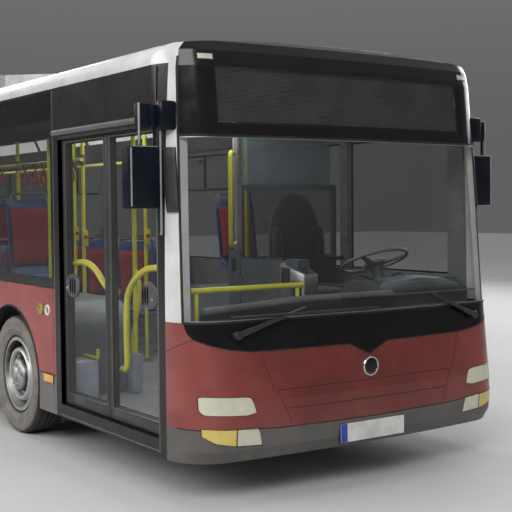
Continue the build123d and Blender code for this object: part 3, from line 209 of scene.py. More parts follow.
def make_livery():
    """Side walls: grey skirt, red panels, black window band and head band."""
    g = Graph("livery_side")
    z = g.axis("Z")
    lower = g.blend(z > SKIRT_TOP, varied(g, GREY_SKIRT), varied(g, RED))
    high = z > WAIST_TOP
    upper = grime(g, g.blend(high, lower, GLOSS_BLACK), amount=0.6)
    x, right = g.axis("X"), g.axis("Y") < 0
    around = [right * (x < door_x[0] + 0.088) * (x > door_x[1] - 0.08) for door_x in DOORS]
    door_mask = around[0] + around[1]
    inside = abs(g.axis("Y")) < HALF_WIDTH - 0.012
    trim = g.blend(g.noise(3.0, 3.0).ramp(0.4, 0.6), (0.15, 0.15, 0.155), (0.18, 0.18, 0.18))
    gloss_paint(g, g.blend(door_mask, g.blend(inside, upper, trim), (0.016, 0.0145, 0.013)), 0.3)
    dull = (high + door_mask).clamp()
    g.set("Coat Weight", 0.35 - dull * 0.28)
    return g.material


def make_front_red():
    """Front panel: the side red darkened in the middle and lighter towards the corners, painted shade and light where
    the panel turns to the side, with fine scuffs.
    """
    g = Graph("paint_red")
    side = abs(g.axis("Y")).ramp(0.55, 1.15)
    scuff = g.noise(26.0, 8.0, 0.78).ramp(0.62, 0.72) * g.noise(2.2, 3.0).ramp(0.5, 0.7) * 0.3
    worn = g.blend(scuff, g.blend(side, varied(g, RED_FRONT_SHADED, 0.16), varied(g, RED_CORNER_LIT)), (0.33, 0.22, 0.19))
    gloss_paint(g, grime(g, worn, amount=0.5), 0.34, 0.25)
    return g.material


def make_bumper():
    """Grey moulding whose front corners turn red above the lower lamps."""
    g = Graph("moulding_grey")
    # The red corners take the corner red, a lighter copy of the paint: painted light on a real red.
    corner = (g.axis("Z") > 0.46) * (g.axis("X") > 5.0)
    g.set("Base Color", grime(g, g.blend(corner, varied(g, (0.096, 0.09, 0.085)), varied(g, RED_CORNER_LIT)), amount=0.5))
    g.set("Roughness", g.noise(9.0, 5.0, 0.6).ramp(0.3, 0.8) * 0.18 + 0.38)
    g.bump(g.cells(800.0), 0.0003, 0.4)
    return g.material


def make_plastic(name, colour, rough=0.5, grain=900.0, depth=0.0003, dirt=0.0):
    g = Graph(name)
    shade = varied(g, colour, 0.16, 4.0)
    g.set("Base Color", grime(g, shade, amount=dirt) if dirt else shade)
    g.set("Roughness", g.noise(9.0, 5.0, 0.6).ramp(0.3, 0.8) * 0.18 + (rough - 0.09))
    g.bump(g.cells(grain), depth, 0.5)
    return g.material


def make_glass(name, tint, alpha):
    """Thin clear pane with faint smears; Alpha lets the saloon show."""
    g = Graph(name)
    g.set("Base Color", tint)
    film = g.noise(2.6, 7.0, 0.72).ramp(0.42, 0.8)
    g.set("Roughness", film * 0.12 + 0.04)
    g.set("Alpha", film * 0.05 + alpha)
    g.material.surface_render_method = "BLENDED"
    return g.material


def make_metal(name, colour, rough=0.35, dirt=0.0):
    g = Graph(name, Metallic=1.0)
    shade = varied(g, colour, 0.1, 8.0)
    g.set("Base Color", grime(g, shade, amount=dirt) if dirt else shade)
    streak = g.noise(30.0, 6.0, 0.7).ramp(0.3, 0.75)
    g.set("Roughness", streak * 0.22 + (rough - 0.08))
    g.bump(g.noise(220.0, 3.0), 0.0003, 0.25)
    return g.material


def make_wheel_steel():
    """Silver wheel steel with dust and oily stains; the hollow by the rim and the ring round the nuts are darkened as
    painted shade, the hollow most where its faces turn down.
    """
    g = Graph("bright_steel", Metallic=1.0)
    radius = wheel_radius(g)
    # Painted shade: the hollow by the rim is darkened, more on faces that turn down.
    down_facing_shade = 1.0 - g.facing("Z").ramp(-0.2, 0.45)
    rim_hollow_shade = radius.ramp(0.204, 0.222) * (1.0 - radius.ramp(0.256, 0.266)) * (down_facing_shade * 0.75 + 0.15)
    # Painted shade: a darker ring round the nuts, between hub and disc.
    nuts = radius.ramp(0.114, 0.126) * (1.0 - radius.ramp(0.154, 0.166)) * 0.8
    oily = (1.0 - radius.ramp(0.112, 0.122)) * g.noise(34.0, 6.0, 0.75).ramp(0.4, 0.62) * 0.6
    dust = g.noise(14.0, 5.0, 0.7).ramp(0.25, 0.75) * 0.25
    shade = g.blend((rim_hollow_shade + nuts + oily + dust).clamp(), (0.66, 0.66, 0.65), (0.055, 0.052, 0.048))
    g.set("Base Color", shade)
    g.set("Roughness", dust * 0.4 + rim_hollow_shade * 0.2 + 0.42)
    g.bump(g.noise(60.0, 5.0, 0.7), 0.002, 0.45)
    return g.material


def make_iron(name, colour):
    """Cast and welded parts below the floor: rough, dusty and with rust in the hollows."""
    g = Graph(name)
    rust = g.noise(7.0, 6.0, 0.7).ramp(0.5, 0.72)
    shade = g.blend(rust * 0.55, varied(g, colour, 0.25, 5.0), (0.13, 0.055, 0.028))
    g.set("Base Color", g.blend(g.noise(2.0, 5.0).ramp(0.4, 0.7) * 0.5, shade, (0.15, 0.135, 0.115)))
    g.set("Roughness", rust * 0.25 + 0.55)
    g.bump(g.noise(90.0, 5.0, 0.7), 0.0012, 0.6)
    return g.material


def wheel_radius(g):
    """Distance from the axle of the nearer wheel, in the wheel's own plane."""
    x, z = g.axis("X"), g.axis("Z") - TYRE_RADIUS
    across = g.node("ShaderNodeMath", {"operation": "MINIMUM"}, abs(x - FRONT_AXLE_X), abs(x - REAR_AXLE_X))
    return (across * across + z * z) ** 0.5


def make_rubber():
    """Tyre rubber: road dust lies on the walls, the tread stays dark."""
    g = Graph("tyre_rubber")
    dust = g.noise(5.0, 7.0, 0.7).ramp(0.3, 0.7)
    wall = abs(g.facing("Y")).ramp(0.55, 0.95) * (1.0 - wheel_radius(g).ramp(0.432, 0.442))
    g.set("Base Color", g.blend((dust * 0.3 + 0.45) * wall + dust * 0.25, (0.02, 0.019, 0.018), (0.235, 0.215, 0.19)))
    g.set("Roughness", dust * 0.15 + 0.7)
    g.bump(g.noise(300.0, 4.0, 0.7), 0.0005, 0.5)
    return g.material


def make_lens(name, tint, alpha, ribs=180.0):
    """Moulded lens with fine upright flutes."""
    g = Graph(name)
    g.set("Base Color", varied(g, tint, 0.06, 9.0))
    g.set("Roughness", g.noise(30.0, 4.0).ramp(0.3, 0.7) * 0.1 + 0.12)
    g.set("Alpha", g.noise(12.0, 3.0).ramp(0.3, 0.7) * 0.06 + alpha)
    g.set("Coat Weight", 0.6)
    flutes = g.node("ShaderNodeTexWave", {"bands_direction": "Y"}, Vector=g.place(), Scale=ribs / 6.2832)
    g.bump(flutes, 0.0012, 0.6)
    g.material.surface_render_method = "BLENDED"
    return g.material


def make_cloth(name, warp, weft):
    """Woven seat cover: crossed threads, slight fading and a soft sheen."""
    g = Graph(name, Sheen_Weight=0.25, Sheen_Roughness=0.5)
    u, v, w = [g.node("ShaderNodeTexWave", {"bands_direction": way}, Vector=g.place(), Scale=70.0) for way in "XYZ"]
    weave = (u * w + v * w + u * v) * 0.5
    worn = g.noise(7.0, 6.0, 0.7).ramp(0.35, 0.75)
    shade = g.blend(weave.ramp(0.0, 1.2), weft, warp)
    g.set("Base Color", g.blend(worn * 0.22, shade, tuple(min(1.0, c * 1.8 + 0.02) for c in warp)))
    g.set("Roughness", worn * 0.1 + 0.8)
    g.bump(weave, 0.0008, 0.3)
    return g.material


def make_dial():
    """Pale dial with a ring of plain marks."""
    g = Graph("dial_face")
    mark = g.node("ShaderNodeTexWave", {"wave_type": "RINGS", "rings_direction": "X"}, Vector=g.place(), Scale=24.0)
    g.set("Base Color", g.blend(mark.ramp(0.9, 0.96), (0.03, 0.03, 0.03), (0.6, 0.6, 0.58)))
    g.set("Roughness", g.noise(40.0).ramp(0.3, 0.7) * 0.1 + 0.25)
    return g.material


def make_diffuser():
    """Frosted light strip with a faint glow."""
    g = Graph("light_diffuser", Emission_Strength=0.55)
    glow = g.noise(3.0, 3.0).ramp(0.3, 0.7)
    g.set("Base Color", g.blend(glow, (0.7, 0.7, 0.68), (0.78, 0.78, 0.76)))
    g.set("Emission Color", g.blend(glow, (0.85, 0.86, 0.84), (0.95, 0.96, 0.94)))
    g.set("Roughness", g.noise(90.0).ramp(0.3, 0.7) * 0.1 + 0.4)
    return g.material


def make_floor_vinyl():
    """Speckled vinyl with scuffs along the aisle."""
    g = Graph("vinyl_floor")
    chips = g.cells(170.0, out=1)
    speck = g.node("ShaderNodeSeparateColor", None, chips)
    shade = g.blend(speck > 0.86, varied(g, (0.31, 0.32, 0.335), 0.15), (0.48, 0.49, 0.51))
    shade = g.blend(speck < 0.12, shade, (0.09, 0.095, 0.1))
    scuff = g.noise(3.0, 7.0, 0.75).ramp(0.5, 0.8)
    g.set("Base Color", g.blend(scuff * 0.4, shade, (0.15, 0.14, 0.125)))
    g.set("Roughness", scuff * 0.2 + 0.42)
    g.bump(g.cells(260.0), 0.0004, 0.3)
    return g.material


# Name, colour, roughness, grain, depth, dirt
PLASTICS = {
    "unit": ("moulding_pale", (0.5, 0.5, 0.49), 0.45, 700.0, 0.0002, 0.4),
    "plastic": ("grained_black", (0.022, 0.022, 0.025), 0.5),
    "navy": ("mirror_navy", (0.006, 0.0078, 0.013), 0.36),
    "dash": ("dash_grey", (0.045, 0.048, 0.052), 0.6, 500.0, 0.0005),
    "partition": ("panel_grey", (0.085, 0.095, 0.11), 0.45),
    "button_yellow": ("button_yellow", (0.31, 0.27, 0.04), 0.45, 500.0, 0.0003),
    "door_grey": ("door_grey", (0.085, 0.085, 0.085), 0.4, 500.0, 0.0002),
    # Near-black with little gloss, for the door plates' slots and the sheets behind the engine grilles: painted shade
    # inside openings.
    "slot": ("slot_black", (0.003, 0.003, 0.003), 0.6, 500.0, 0.0002),
    "door_plate": ("door_plate", (0.055, 0.055, 0.055), 0.4, 500.0, 0.0002),
    # Step boxes: blue grey made lighter than their own to make up for the shade they stand in: painted light.
    "box_blue": ("box_blue", (0.36, 0.39, 0.46), 0.45, 500.0, 0.0003),
    "seat_shell": ("shell_blue", (0.035, 0.075, 0.22), 0.35),
    "rubber_trim": ("rubber_trim", (0.016, 0.016, 0.016), 0.62, 600.0, 0.0003),
    "satin_black": ("satin_black", (0.028, 0.028, 0.03), 0.4, 500.0, 0.0003),
    "seam": ("seam_shadow", (0.03, 0.012, 0.011), 0.7, 500.0, 0.0003),
    "plate": ("plate_white", (0.62, 0.62, 0.6), 0.35, 300.0, 0.0001, 0.3),
    "satin_grey": ("satin_grey", (0.13, 0.13, 0.135), 0.42, 500.0, 0.0003),
    "panel_pale": ("panel_pale", (0.24, 0.24, 0.24), 0.5, 500.0, 0.0003),
    "panel_mid": ("panel_mid", (0.14, 0.155, 0.18), 0.45, 500.0, 0.0003),
    "dash_pale": ("dash_pale", (0.1, 0.118, 0.125), 0.45, 420.0, 0.0006),
    "display_grey": ("display_grey", (0.075, 0.075, 0.075), 0.6, 500.0, 0.0003),
    "slat": ("display_slat", (0.26, 0.26, 0.255), 0.5, 500.0, 0.0002),
    "yellow_mat": ("yellow_satin", (0.66, 0.55, 0.04), 0.45, 500.0, 0.0003, 0.2),
    "white_mat": ("white_satin", (0.68, 0.68, 0.66), 0.4, 500.0, 0.0003, 0.2),
    "lime": ("button_lime", (0.24, 0.25, 0.06), 0.4, 500.0, 0.0002),
    "pad_grey": ("button_grey", (0.2, 0.22, 0.22), 0.4, 500.0, 0.0002),
    "handle_red": ("handle_red", (0.45, 0.03, 0.025), 0.38, 500.0, 0.0002),
    "plate_blue": ("plate_blue", (0.02, 0.06, 0.42), 0.35, 300.0, 0.0001, 0.2),
}
# Name, colour, roughness, dirt, coat
PAINTS = {
    "white": ("paint_white", WHITE, 0.3, 0.4),
    "black": ("gloss_black", GLOSS_BLACK, 0.16, 0.06, 0.2),
    "door": ("door_frame", (0.034, 0.033, 0.032), 0.38, 0.35, 0.2),
    "yellow": ("rail_yellow", YELLOW, 0.32, 0.15),
}
# Name, tint, alpha
GLASSES = {
    "glass": ("glass_clear", (0.06, 0.065, 0.065), 0.13),
    "tint": ("glass_tinted", (0.03, 0.033, 0.033), 0.3),
    "lens": ("lamp_lens", (0.75, 0.75, 0.7), 0.16),
    "screen_blue": ("cab_screen", (0.19, 0.24, 0.26), 0.55),
    "sign": ("sign_pane", (0.024, 0.024, 0.024), 0.3),
}
# Name, colour, roughness, dirt
METALS = {
    "nut": ("nut_steel", (0.36, 0.35, 0.34), 0.42, 0.3),
    "chrome": ("chrome", (0.72, 0.72, 0.72), 0.14),
    "chrome_soft": ("reflector_soft", (0.62, 0.61, 0.58), 0.38),
    "alu": ("brushed_alu", (0.5, 0.5, 0.5), 0.36, 0.3),
    "steel_dull": ("steel_dull", (0.23, 0.215, 0.2), 0.55, 0.4),
    "mirror": ("mirror_glass", (0.86, 0.88, 0.88), 0.09),
}
# Name, colour
IRONS = {
    "frame": ("chassis_black", (0.022, 0.022, 0.024)),
    "iron": ("axle_iron", (0.05, 0.05, 0.05)),
}
# Name, tint, alpha, ribs
LENSES = {
    "cream_lens": ("lens_cream", (0.8, 0.78, 0.62), 0.62),
    "amber_pale": ("lens_pale_amber", (0.78, 0.62, 0.16), 0.74, 120.0),
    "amber": ("lens_amber", (0.85, 0.36, 0.03), 0.88, 150.0),
    "red_lens": ("lens_red", (0.5, 0.012, 0.01), 0.9, 150.0),
    "bulb": ("bulb_glass", (0.85, 0.83, 0.75), 0.7, 60.0),
}
# Name, warp, weft
CLOTHS = {
    "cloth_blue": ("cloth_blue", (0.03, 0.075, 0.23), (0.018, 0.04, 0.13)),
    "cloth_red": ("cloth_red", (0.33, 0.028, 0.03), (0.2, 0.016, 0.02)),
    "cover": ("cover_dark", (0.022, 0.022, 0.026), (0.01, 0.01, 0.013)),
    "webbing": ("webbing_black", (0.02, 0.02, 0.02), (0.01, 0.01, 0.01)),
}
M = {"side": make_livery(), "red": make_front_red(), "bumper": make_bumper(), "steel": make_wheel_steel(),
    "rubber": make_rubber(), "vinyl": make_floor_vinyl(), "dial": make_dial(),
    "diffuser": make_diffuser()}
for make, table in ((make_plastic, PLASTICS), (make_paint, PAINTS), (make_glass, GLASSES), (make_metal, METALS),
        (make_iron, IRONS), (make_lens, LENSES), (make_cloth, CLOTHS)):
    M.update({key: make(*values) for key, values in table.items()})
for key, level in (("black", 0.2), ("side", 0.18), ("navy", 0.15), ("slot", 0.1), ("door", 0.25), ("satin_black", 0.35),
        ("rubber_trim", 0.3), ("sign", 0.25)):
    M[key].node_tree.nodes["Principled BSDF"].inputs["Specular IOR Level"].default_value = level

# What the nodes wear
WEAR = {
    "vinyl": "floor rear_deck",
    "panel_mid": "floor_boxes",
    "frame": "underframe",
    "side": "side_wall_left side_wall_right",
    "white": "roof corner_pillars rear_wall",
    "unit": "roof_unit",
    "red": "front_panel engine_flap",
    "black": "front_band display_housing",
    "bumper": "bumpers",
    "sign": "sign_panes",
    "glass": "windscreen front_door_glass_1 front_door_glass_2 middle_door_glass_1 middle_door_glass_2",
    "tint": "window_panes",
    "lens": "lamps",
    "navy": "mirrors",
    "plastic": "wipers steering_wheel",
    "dash": "dashboard",
    "cover": "driver_seat",
    "partition": "cab_partition cab_door",
    "seat_shell": "passenger_seats",
    "yellow": "handrails",
    "iron": "front_axle knuckle_left knuckle_right tie_rod rear_axle engine_block",
    "door": "door_headers front_door_arm_1 front_door_arm_2 front_door_leaf_1 front_door_leaf_2 "
    "middle_door_arm_1 middle_door_arm_2 middle_door_leaf_1 middle_door_leaf_2",
    "steel": "front_rim_left front_rim_right rear_rims_left rear_rims_right",
    "rubber": "front_tyre_left front_tyre_right rear_tyres_left rear_tyres_right",
}


def dress(obj, *materials):
    obj.data.materials.clear()
    for key in materials:
        obj.data.materials.append(M[key])
    return obj


for key, names in WEAR.items():
    for name in names.split():
        dress(nodes[name], key)


# Camera, light and floor

camera_data = bpy.data.cameras.new("camera")
camera_data.lens = 74.26
camera_data.sensor_width = 36.0
camera_data.clip_end = 200.0
camera = bpy.data.objects.new("camera", camera_data)
right, up, back = Vector((0.5652, 0.8249, -0.009)), Vector((-0.0327, 0.0333, 0.9989)), Vector((0.8243, -0.5643, 0.0458))
camera.matrix_world = Matrix((
    (right.x, up.x, back.x, 10.945),
    (right.y, up.y, back.y, -4.264),
    (right.z, up.z, back.z, 1.723),
    (0, 0, 0, 1)))
bpy.context.scene.collection.objects.link(camera)
bpy.context.scene.camera = camera


# Lamps: place, aim, size, watts
LAMPS = {
    "key": ((13.0, -7.5, 8.5), (4.0, -0.5, 1.2), (7.0, 5.0), 900.0),
    "side": ((-1.0, -12.0, 6.5), (0.0, 0.0, 1.2), (13.0, 4.0), 850.0),
    "fill": ((0.0, 12.0, 6.0), (0.0, 0.0, 1.2), (13.0, 5.0), 650.0),
    "back": ((-13.0, 1.0, 7.0), (-3.0, 0.0, 1.2), (8.0, 5.0), 750.0),
    "overhead": ((0.0, 0.0, 11.0), (0.0, 0.0, 0.0), (14.0, 6.0), 380.0),
    "saloon_front": ((3.4, 0.0, 2.55), (3.4, 0.0, 0.0), (3.6, 0.5), 24.0),
    "saloon_rear": ((-2.2, 0.0, 2.55), (-2.2, 0.0, 0.0), (6.5, 0.5), 28.0),
}
for name, (at, towards, size, power) in LAMPS.items():
    data = bpy.data.lights.new(name, "AREA")
    data.shape = "RECTANGLE"
    data.size, data.size_y = size
    data.energy = power
    lamp = bpy.data.objects.new(name, data)
    lamp.location = at
    lamp.rotation_mode = "QUATERNION"
    lamp.rotation_quaternion = (Vector(towards) - Vector(at)).to_track_quat("-Z", "Y")
    bpy.context.scene.collection.objects.link(lamp)

SKY_LOW = (0.115, 0.117, 0.12, 1.0)
SKY_TOP = (0.45, 0.455, 0.46, 1.0)
world = bpy.data.worlds.new("world")
world.use_nodes = True
sky = world.node_tree
direction = sky.nodes.new("ShaderNodeTexCoord")
split = sky.nodes.new("ShaderNodeSeparateXYZ")
height = sky.nodes.new("ShaderNodeMapRange")
height.interpolation_type = "SMOOTHSTEP"
height.inputs["From Min"].default_value = 0.02
height.inputs["From Max"].default_value = 0.85
shade = sky.nodes.new("ShaderNodeMix")
shade.data_type = "RGBA"
shade.inputs[6].default_value, shade.inputs[7].default_value = SKY_LOW, SKY_TOP
sky.links.new(direction.outputs["Generated"], split.inputs[0])
sky.links.new(split.outputs["Z"], height.inputs["Value"])
sky.links.new(height.outputs[0], shade.inputs[0])
sky.links.new(shade.outputs[2], sky.nodes["Background"].inputs["Color"])
bpy.context.scene.world = world
bpy.context.scene.view_settings.view_transform = "Standard"


def mesh_piece(name, bm, body, *materials):
    """Makes an object of a bmesh and lets it ride on a body."""
    mesh = bpy.data.meshes.new(name)
    bm.to_mesh(mesh)
    bm.free()
    obj = bpy.data.objects.new(name, mesh)
    bpy.context.scene.collection.objects.link(obj)
    dress(obj, *materials)
    if body:
        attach(obj, body)
    return obj


def make_ground():
    g = Graph("ground_pale")
    shade = g.blend(g.noise(0.5, 6.0, 0.6).ramp(0.35, 0.7), (0.545, 0.545, 0.54), (0.575, 0.575, 0.57))
    g.set("Base Color", shade)
    g.set("Roughness", 0.75)
    g.bump(g.noise(40.0, 4.0), 0.002, 0.15)
    return g.material


M["ground"] = make_ground()
ground = bmesh.new()
bmesh.ops.create_grid(ground, x_segments=2, y_segments=2, size=45.0)
ground_piece = mesh_piece("ground", ground, None, "ground")

# Shapes


def box_in(bm, low, high, bevel=0.0, segments=2):
    """Box between two corners, with rounded edges where bevel is given."""
    made = bmesh.ops.create_cube(bm, size=1.0)["verts"]
    low, high = Vector(low), Vector(high)
    size = high - low
    for vertex in made:
        vertex.co = Vector(((vertex.co.x + 0.5) * size.x, (vertex.co.y + 0.5) * size.y,
            (vertex.co.z + 0.5) * size.z)) + low
    if bevel:
        edges = list({edge for vertex in made for edge in vertex.link_edges})
        result = bmesh.ops.bevel(bm, geom=edges, offset=bevel, segments=segments, affect="EDGES", profile=0.5)
        made = list({vertex for face in result["faces"] for vertex in face.verts} | {v for v in made if v.is_valid})
    return made


def rows_in(bm, rows, caps=True, ring=False):
    """Skin over closed rows of points that have the same count; ring joins the last row to the first."""
    grid = [[bm.verts.new(point) for point in row] for row in rows]
    count = len(grid[0])
    for a, b in zip(grid, grid[1:] + (grid[:1] if ring else [])):
        for i in range(count):
            j = (i + 1) % count
            bm.faces.new((a[i], a[j], b[j], b[i]))
    if caps and not ring:
        bm.faces.new(list(reversed(grid[0])))
        bm.faces.new(grid[-1])
    return [vertex for row in grid for vertex in row]


def bar_in(bm, section, stations, side=1):
    """Straight bar along X with a section of (y, z) points."""
    rows_in(bm, [[Vector((x, side * y, z)) for y, z in section] for x in stations])


def frames_along(points):
    """Position, side and lift directions at each point of a path."""
    points = [Vector(point) for point in points]
    out = []
    lift = Vector((0, 0, 1))
    for index, point in enumerate(points):
        ahead = points[min(index + 1, len(points) - 1)] - points[max(index - 1, 0)]
        ahead.normalize()
        if abs(ahead.dot(lift)) > 0.94:
            lift = Vector((1, 0, 0)) if abs(ahead.x) < 0.9 else Vector((0, 1, 0))
        side = ahead.cross(lift).normalized()
        lift = side.cross(ahead).normalized()
        out.append((point, side, lift))
    return out


def tube_in(bm, points, radius, sides=12, flat=1.0):
    """Round bar along a path; flat squeezes it in its lift direction."""
    rows = []
    for point, side, lift in frames_along(points):
        row = []
        for index in range(sides):
            turn = 2 * math.pi * index / sides
            row.append(point + side * radius * math.cos(turn) + lift * radius * flat * math.sin(turn))
        rows.append(row)
    return rows_in(bm, rows)


def rounded_path(points, radius, steps=5):
    """The path with its corners rounded."""
    points = [Vector(point) for point in points]
    path = [points[0]]
    for before, corner, after in zip(points, points[1:], points[2:]):
        a, b = (before - corner), (after - corner)
        reach = min(radius, a.length * 0.49, b.length * 0.49)
        start, end = corner + a.normalized() * reach, corner + b.normalized() * reach
        for index in range(steps + 1):
            t = index / steps
            path.append(start * (1 - t) ** 2 + corner * (2 * t * (1 - t)) + end * t * t)
    path.append(points[-1])
    return path


def lathe_in(bm, profile, centre, axis="Y", steps=48):
    """Turns a closed profile of (distance along the axis, radius) points about an axis through centre."""
    along = {"X": Vector((1, 0, 0)), "Y": Vector((0, 1, 0)), "Z": Vector((0, 0, 1))}[axis]
    u = {"X": Vector((0, 1, 0)), "Y": Vector((1, 0, 0)), "Z": Vector((1, 0, 0))}[axis]
    v = along.cross(u)
    centre = Vector(centre)
    rows = []
    for index in range(steps):
        turn = 2 * math.pi * index / steps
        out = u * math.cos(turn) + v * math.sin(turn)
        rows.append([centre + along * d + out * r for d, r in profile])
    made = [[bm.verts.new(point) for point in row] for row in rows]
    count = len(profile)
    for index in range(steps):
        a, b = made[index], made[(index + 1) % steps]
        for i in range(count):
            j = (i + 1) % count
            if (a[i].co - b[i].co).length < 1e-7 and (a[j].co - b[j].co).length < 1e-7:
                continue
            bm.faces.new((a[i], a[j], b[j], b[i]))
    flat = [vertex for row in made for vertex in row]
    bmesh.ops.remove_doubles(bm, verts=flat, dist=1e-6)
    return [vertex for vertex in flat if vertex.is_valid]


NOSE_PROFILE = ((0.255, 0.06), (0.33, 0.01), (0.445, 0.0), (0.6, 0.008), (0.815, 0.035), (1.066, 0.062), (2.14, 0.165),
    (2.545, 0.205), (2.64, 0.228), (2.7, 0.27), (2.73, 0.33), (2.745, 0.386))
FACE_RADIUS = 10.0
CORNER_RADIUS = 0.28


def between(table, u):
    """Value at u of a line through (u, value) points."""
    table = sorted(table)
    if u <= table[0][0]:
        return table[0][1]
    for (u0, v0), (u1, v1) in zip(table, table[1:]):
        if u <= u1:
            return v0 + (v1 - v0) * (u - u0) / (u1 - u0)
    return table[-1][1]


def set_back(z):
    return between(NOSE_PROFILE, z)


def nose(s, z, lift=0.0):
    """Point of the nose's skin at an arc length s from the centre line, moved out by lift."""
    side = math.copysign(1.0, s)
    reach = abs(s)
    centre_x = NOSE_X - set_back(z) - FACE_RADIUS
    corner_y = HALF_WIDTH - CORNER_RADIUS
    corner_x = centre_x + math.sqrt((FACE_RADIUS - CORNER_RADIUS) ** 2 - corner_y ** 2)
    turn = math.atan2(corner_y, corner_x - centre_x)
    face_end = FACE_RADIUS * turn
    corner_end = face_end + CORNER_RADIUS * (math.pi / 2 - turn)
    if reach <= face_end:
        angle = reach / FACE_RADIUS
        radius = FACE_RADIUS + lift
        return Vector((centre_x + radius * math.cos(angle), side * radius * math.sin(angle), z))
    if reach <= corner_end:
        angle = turn + (reach - face_end) / CORNER_RADIUS
        radius = CORNER_RADIUS + lift
        return Vector((corner_x + radius * math.cos(angle), side * (corner_y + radius * math.sin(angle)), z))
    return Vector((corner_x - (reach - corner_end), side * (HALF_WIDTH + lift), z))


def nose_s(y):
    """Arc length along the nose's skin that lies at a distance y from the centre line."""
    corner_y = HALF_WIDTH - CORNER_RADIUS
    turn = math.asin(corner_y / (FACE_RADIUS - CORNER_RADIUS))
    face_end = FACE_RADIUS * turn
    side, reach = math.copysign(1.0, y), abs(y)
    if reach <= FACE_RADIUS * math.sin(turn):
        return side * FACE_RADIUS * math.asin(reach / FACE_RADIUS)
    angle = math.asin(min(1.0, (reach - corner_y) / CORNER_RADIUS))
    return side * (face_end + CORNER_RADIUS * (angle - turn))


def wall_skin(side):
    """Places points on a side wall: (x, height, lift)."""
    return lambda x, z, lift=0.0: Vector((x, side * (HALF_WIDTH + lift), z))


TAIL_PROFILE = ((0.274, 0.044), (0.42, 0.014), (1.3, 0.014), (2.5, 0.074), (2.62, 0.092), (2.7, 0.14))
TAIL_RADIUS = 14.0
TAIL_CORNER = 0.16


def tail(y, z, lift=0.0):
    """Point of the tail's skin."""
    back = TAIL_PROFILE[-1][1]
    for (z0, s0), (z1, s1) in zip(TAIL_PROFILE, TAIL_PROFILE[1:]):
        if z <= z1:
            back = s0 + (s1 - s0) * max(0.0, z - z0) / (z1 - z0)
            break
    corner_y = HALF_WIDTH - TAIL_CORNER
    centre = NOSE_X - back - TAIL_RADIUS
    corner_x = centre + math.sqrt((TAIL_RADIUS - TAIL_CORNER) ** 2 - corner_y ** 2)
    turn = math.atan2(corner_y, corner_x - centre)
    side, reach = math.copysign(1.0, y), abs(y)
    if reach <= TAIL_RADIUS * math.sin(turn):
        angle = math.asin(reach / TAIL_RADIUS)
        return Vector((-(centre + (TAIL_RADIUS + lift) * math.cos(angle)),
            side * (TAIL_RADIUS + lift) * math.sin(angle), z))
    angle = math.asin(min(1.0, (reach - corner_y) / TAIL_CORNER))
    return Vector((-(corner_x + (TAIL_CORNER + lift) * math.cos(angle)),
        side * (corner_y + (TAIL_CORNER + lift) * math.sin(angle)), z))


def strip_in(bm, skin, path, width, lifts, closed=False):
    """Ribbon of rectangular section laid along a path of (u, z) on a skin."""
    path = [Vector(point) for point in path]
    count = len(path)
    rows = []
    for index, point in enumerate(path):
        if closed:
            ahead = (path[(index + 1) % count] - point).normalized() + (point - path[index - 1]).normalized()
        else:
            ahead = path[min(index + 1, count - 1)] - path[max(index - 1, 0)]
        ahead.normalize()
        across = Vector((-ahead.y, ahead.x)) * width / 2
        a, b = point + across, point - across
        rows.append([skin(a.x, a.y, lifts[0]), skin(a.x, a.y, lifts[1]), skin(b.x, b.y, lifts[1]),
            skin(b.x, b.y, lifts[0])])
    rows_in(bm, rows, ring=closed)


def dense(path, step=0.05):
    """The path with points at least every step."""
    out = [Vector(path[0])]
    for a, b in zip(path, path[1:]):
        a, b = Vector(a), Vector(b)
        pieces = max(1, int((b - a).length / step))
        out += [a + (b - a) * (i + 1) / pieces for i in range(pieces)]
    return out


def patch_in(bm, skin, u_values, bounds_at, rows, lifts):
    """Closed shell over part of a skin: bounds_at(u) gives its lower and upper height."""
    outer, inner = [], []
    for u in u_values:
        low, high = bounds_at(u)
        heights = [low + (high - low) * i / rows for i in range(rows + 1)]
        outer.append([bm.verts.new(skin(u, z, lifts[1])) for z in heights])
        inner.append([bm.verts.new(skin(u, z, lifts[0])) for z in heights])
    for sheet, flip in ((outer, False), (inner, True)):
        for a, b in zip(sheet, sheet[1:]):
            for i in range(rows):
                face = [a[i], b[i], b[i + 1], a[i + 1]]
                bm.faces.new(face[::-1] if flip else face)
    for a, b, c, d in zip(outer, outer[1:], inner, inner[1:]):
        bm.faces.new((a[0], c[0], d[0], b[0]))
        bm.faces.new((b[-1], d[-1], c[-1], a[-1]))
    for edge, other in ((outer[0], inner[0]), (inner[-1], outer[-1])):
        for i in range(rows):
            bm.faces.new((edge[i], edge[i + 1], other[i + 1], other[i]))


def spread(low, high, count):
    return [low + (high - low) * i / count for i in range(count + 1)]


def bolt_in(bm, at, direction, radius=0.012, height=0.012, sides=6):
    """Hexagon head standing on a surface."""
    direction = Vector(direction).normalized()
    side = direction.orthogonal().normalized()
    other = direction.cross(side)
    at = Vector(at)
    rows = []
    for d, r in ((0.0, radius), (height * 0.8, radius), (height, radius * 0.8)):
        rows.append([at + direction * d + (side * math.cos(2 * math.pi * i / sides)
            + other * math.sin(2 * math.pi * i / sides)) * r for i in range(sides)])
    rows_in(bm, rows)


def weld_smooth(obj, angle):
    """Smooth shading with crisp edges above an angle."""
    for polygon in obj.data.polygons:
        polygon.use_smooth = True
    bm = bmesh.new()
    bm.from_mesh(obj.data)
    for edge in bm.edges:
        edge.smooth = len(edge.link_faces) == 2 and edge.calc_face_angle(0.0) < angle
    bmesh.ops.recalc_face_normals(bm, faces=bm.faces)
    bm.to_mesh(obj.data)
    bm.free()


def piece(name, bm, material, body="body", angle=0.6):
    """A finished piece: meshed, dressed, shaded and riding on its body."""
    obj = mesh_piece(name, bm, body, *([material] if isinstance(material, str) else material))
    weld_smooth(obj, angle)
    return obj


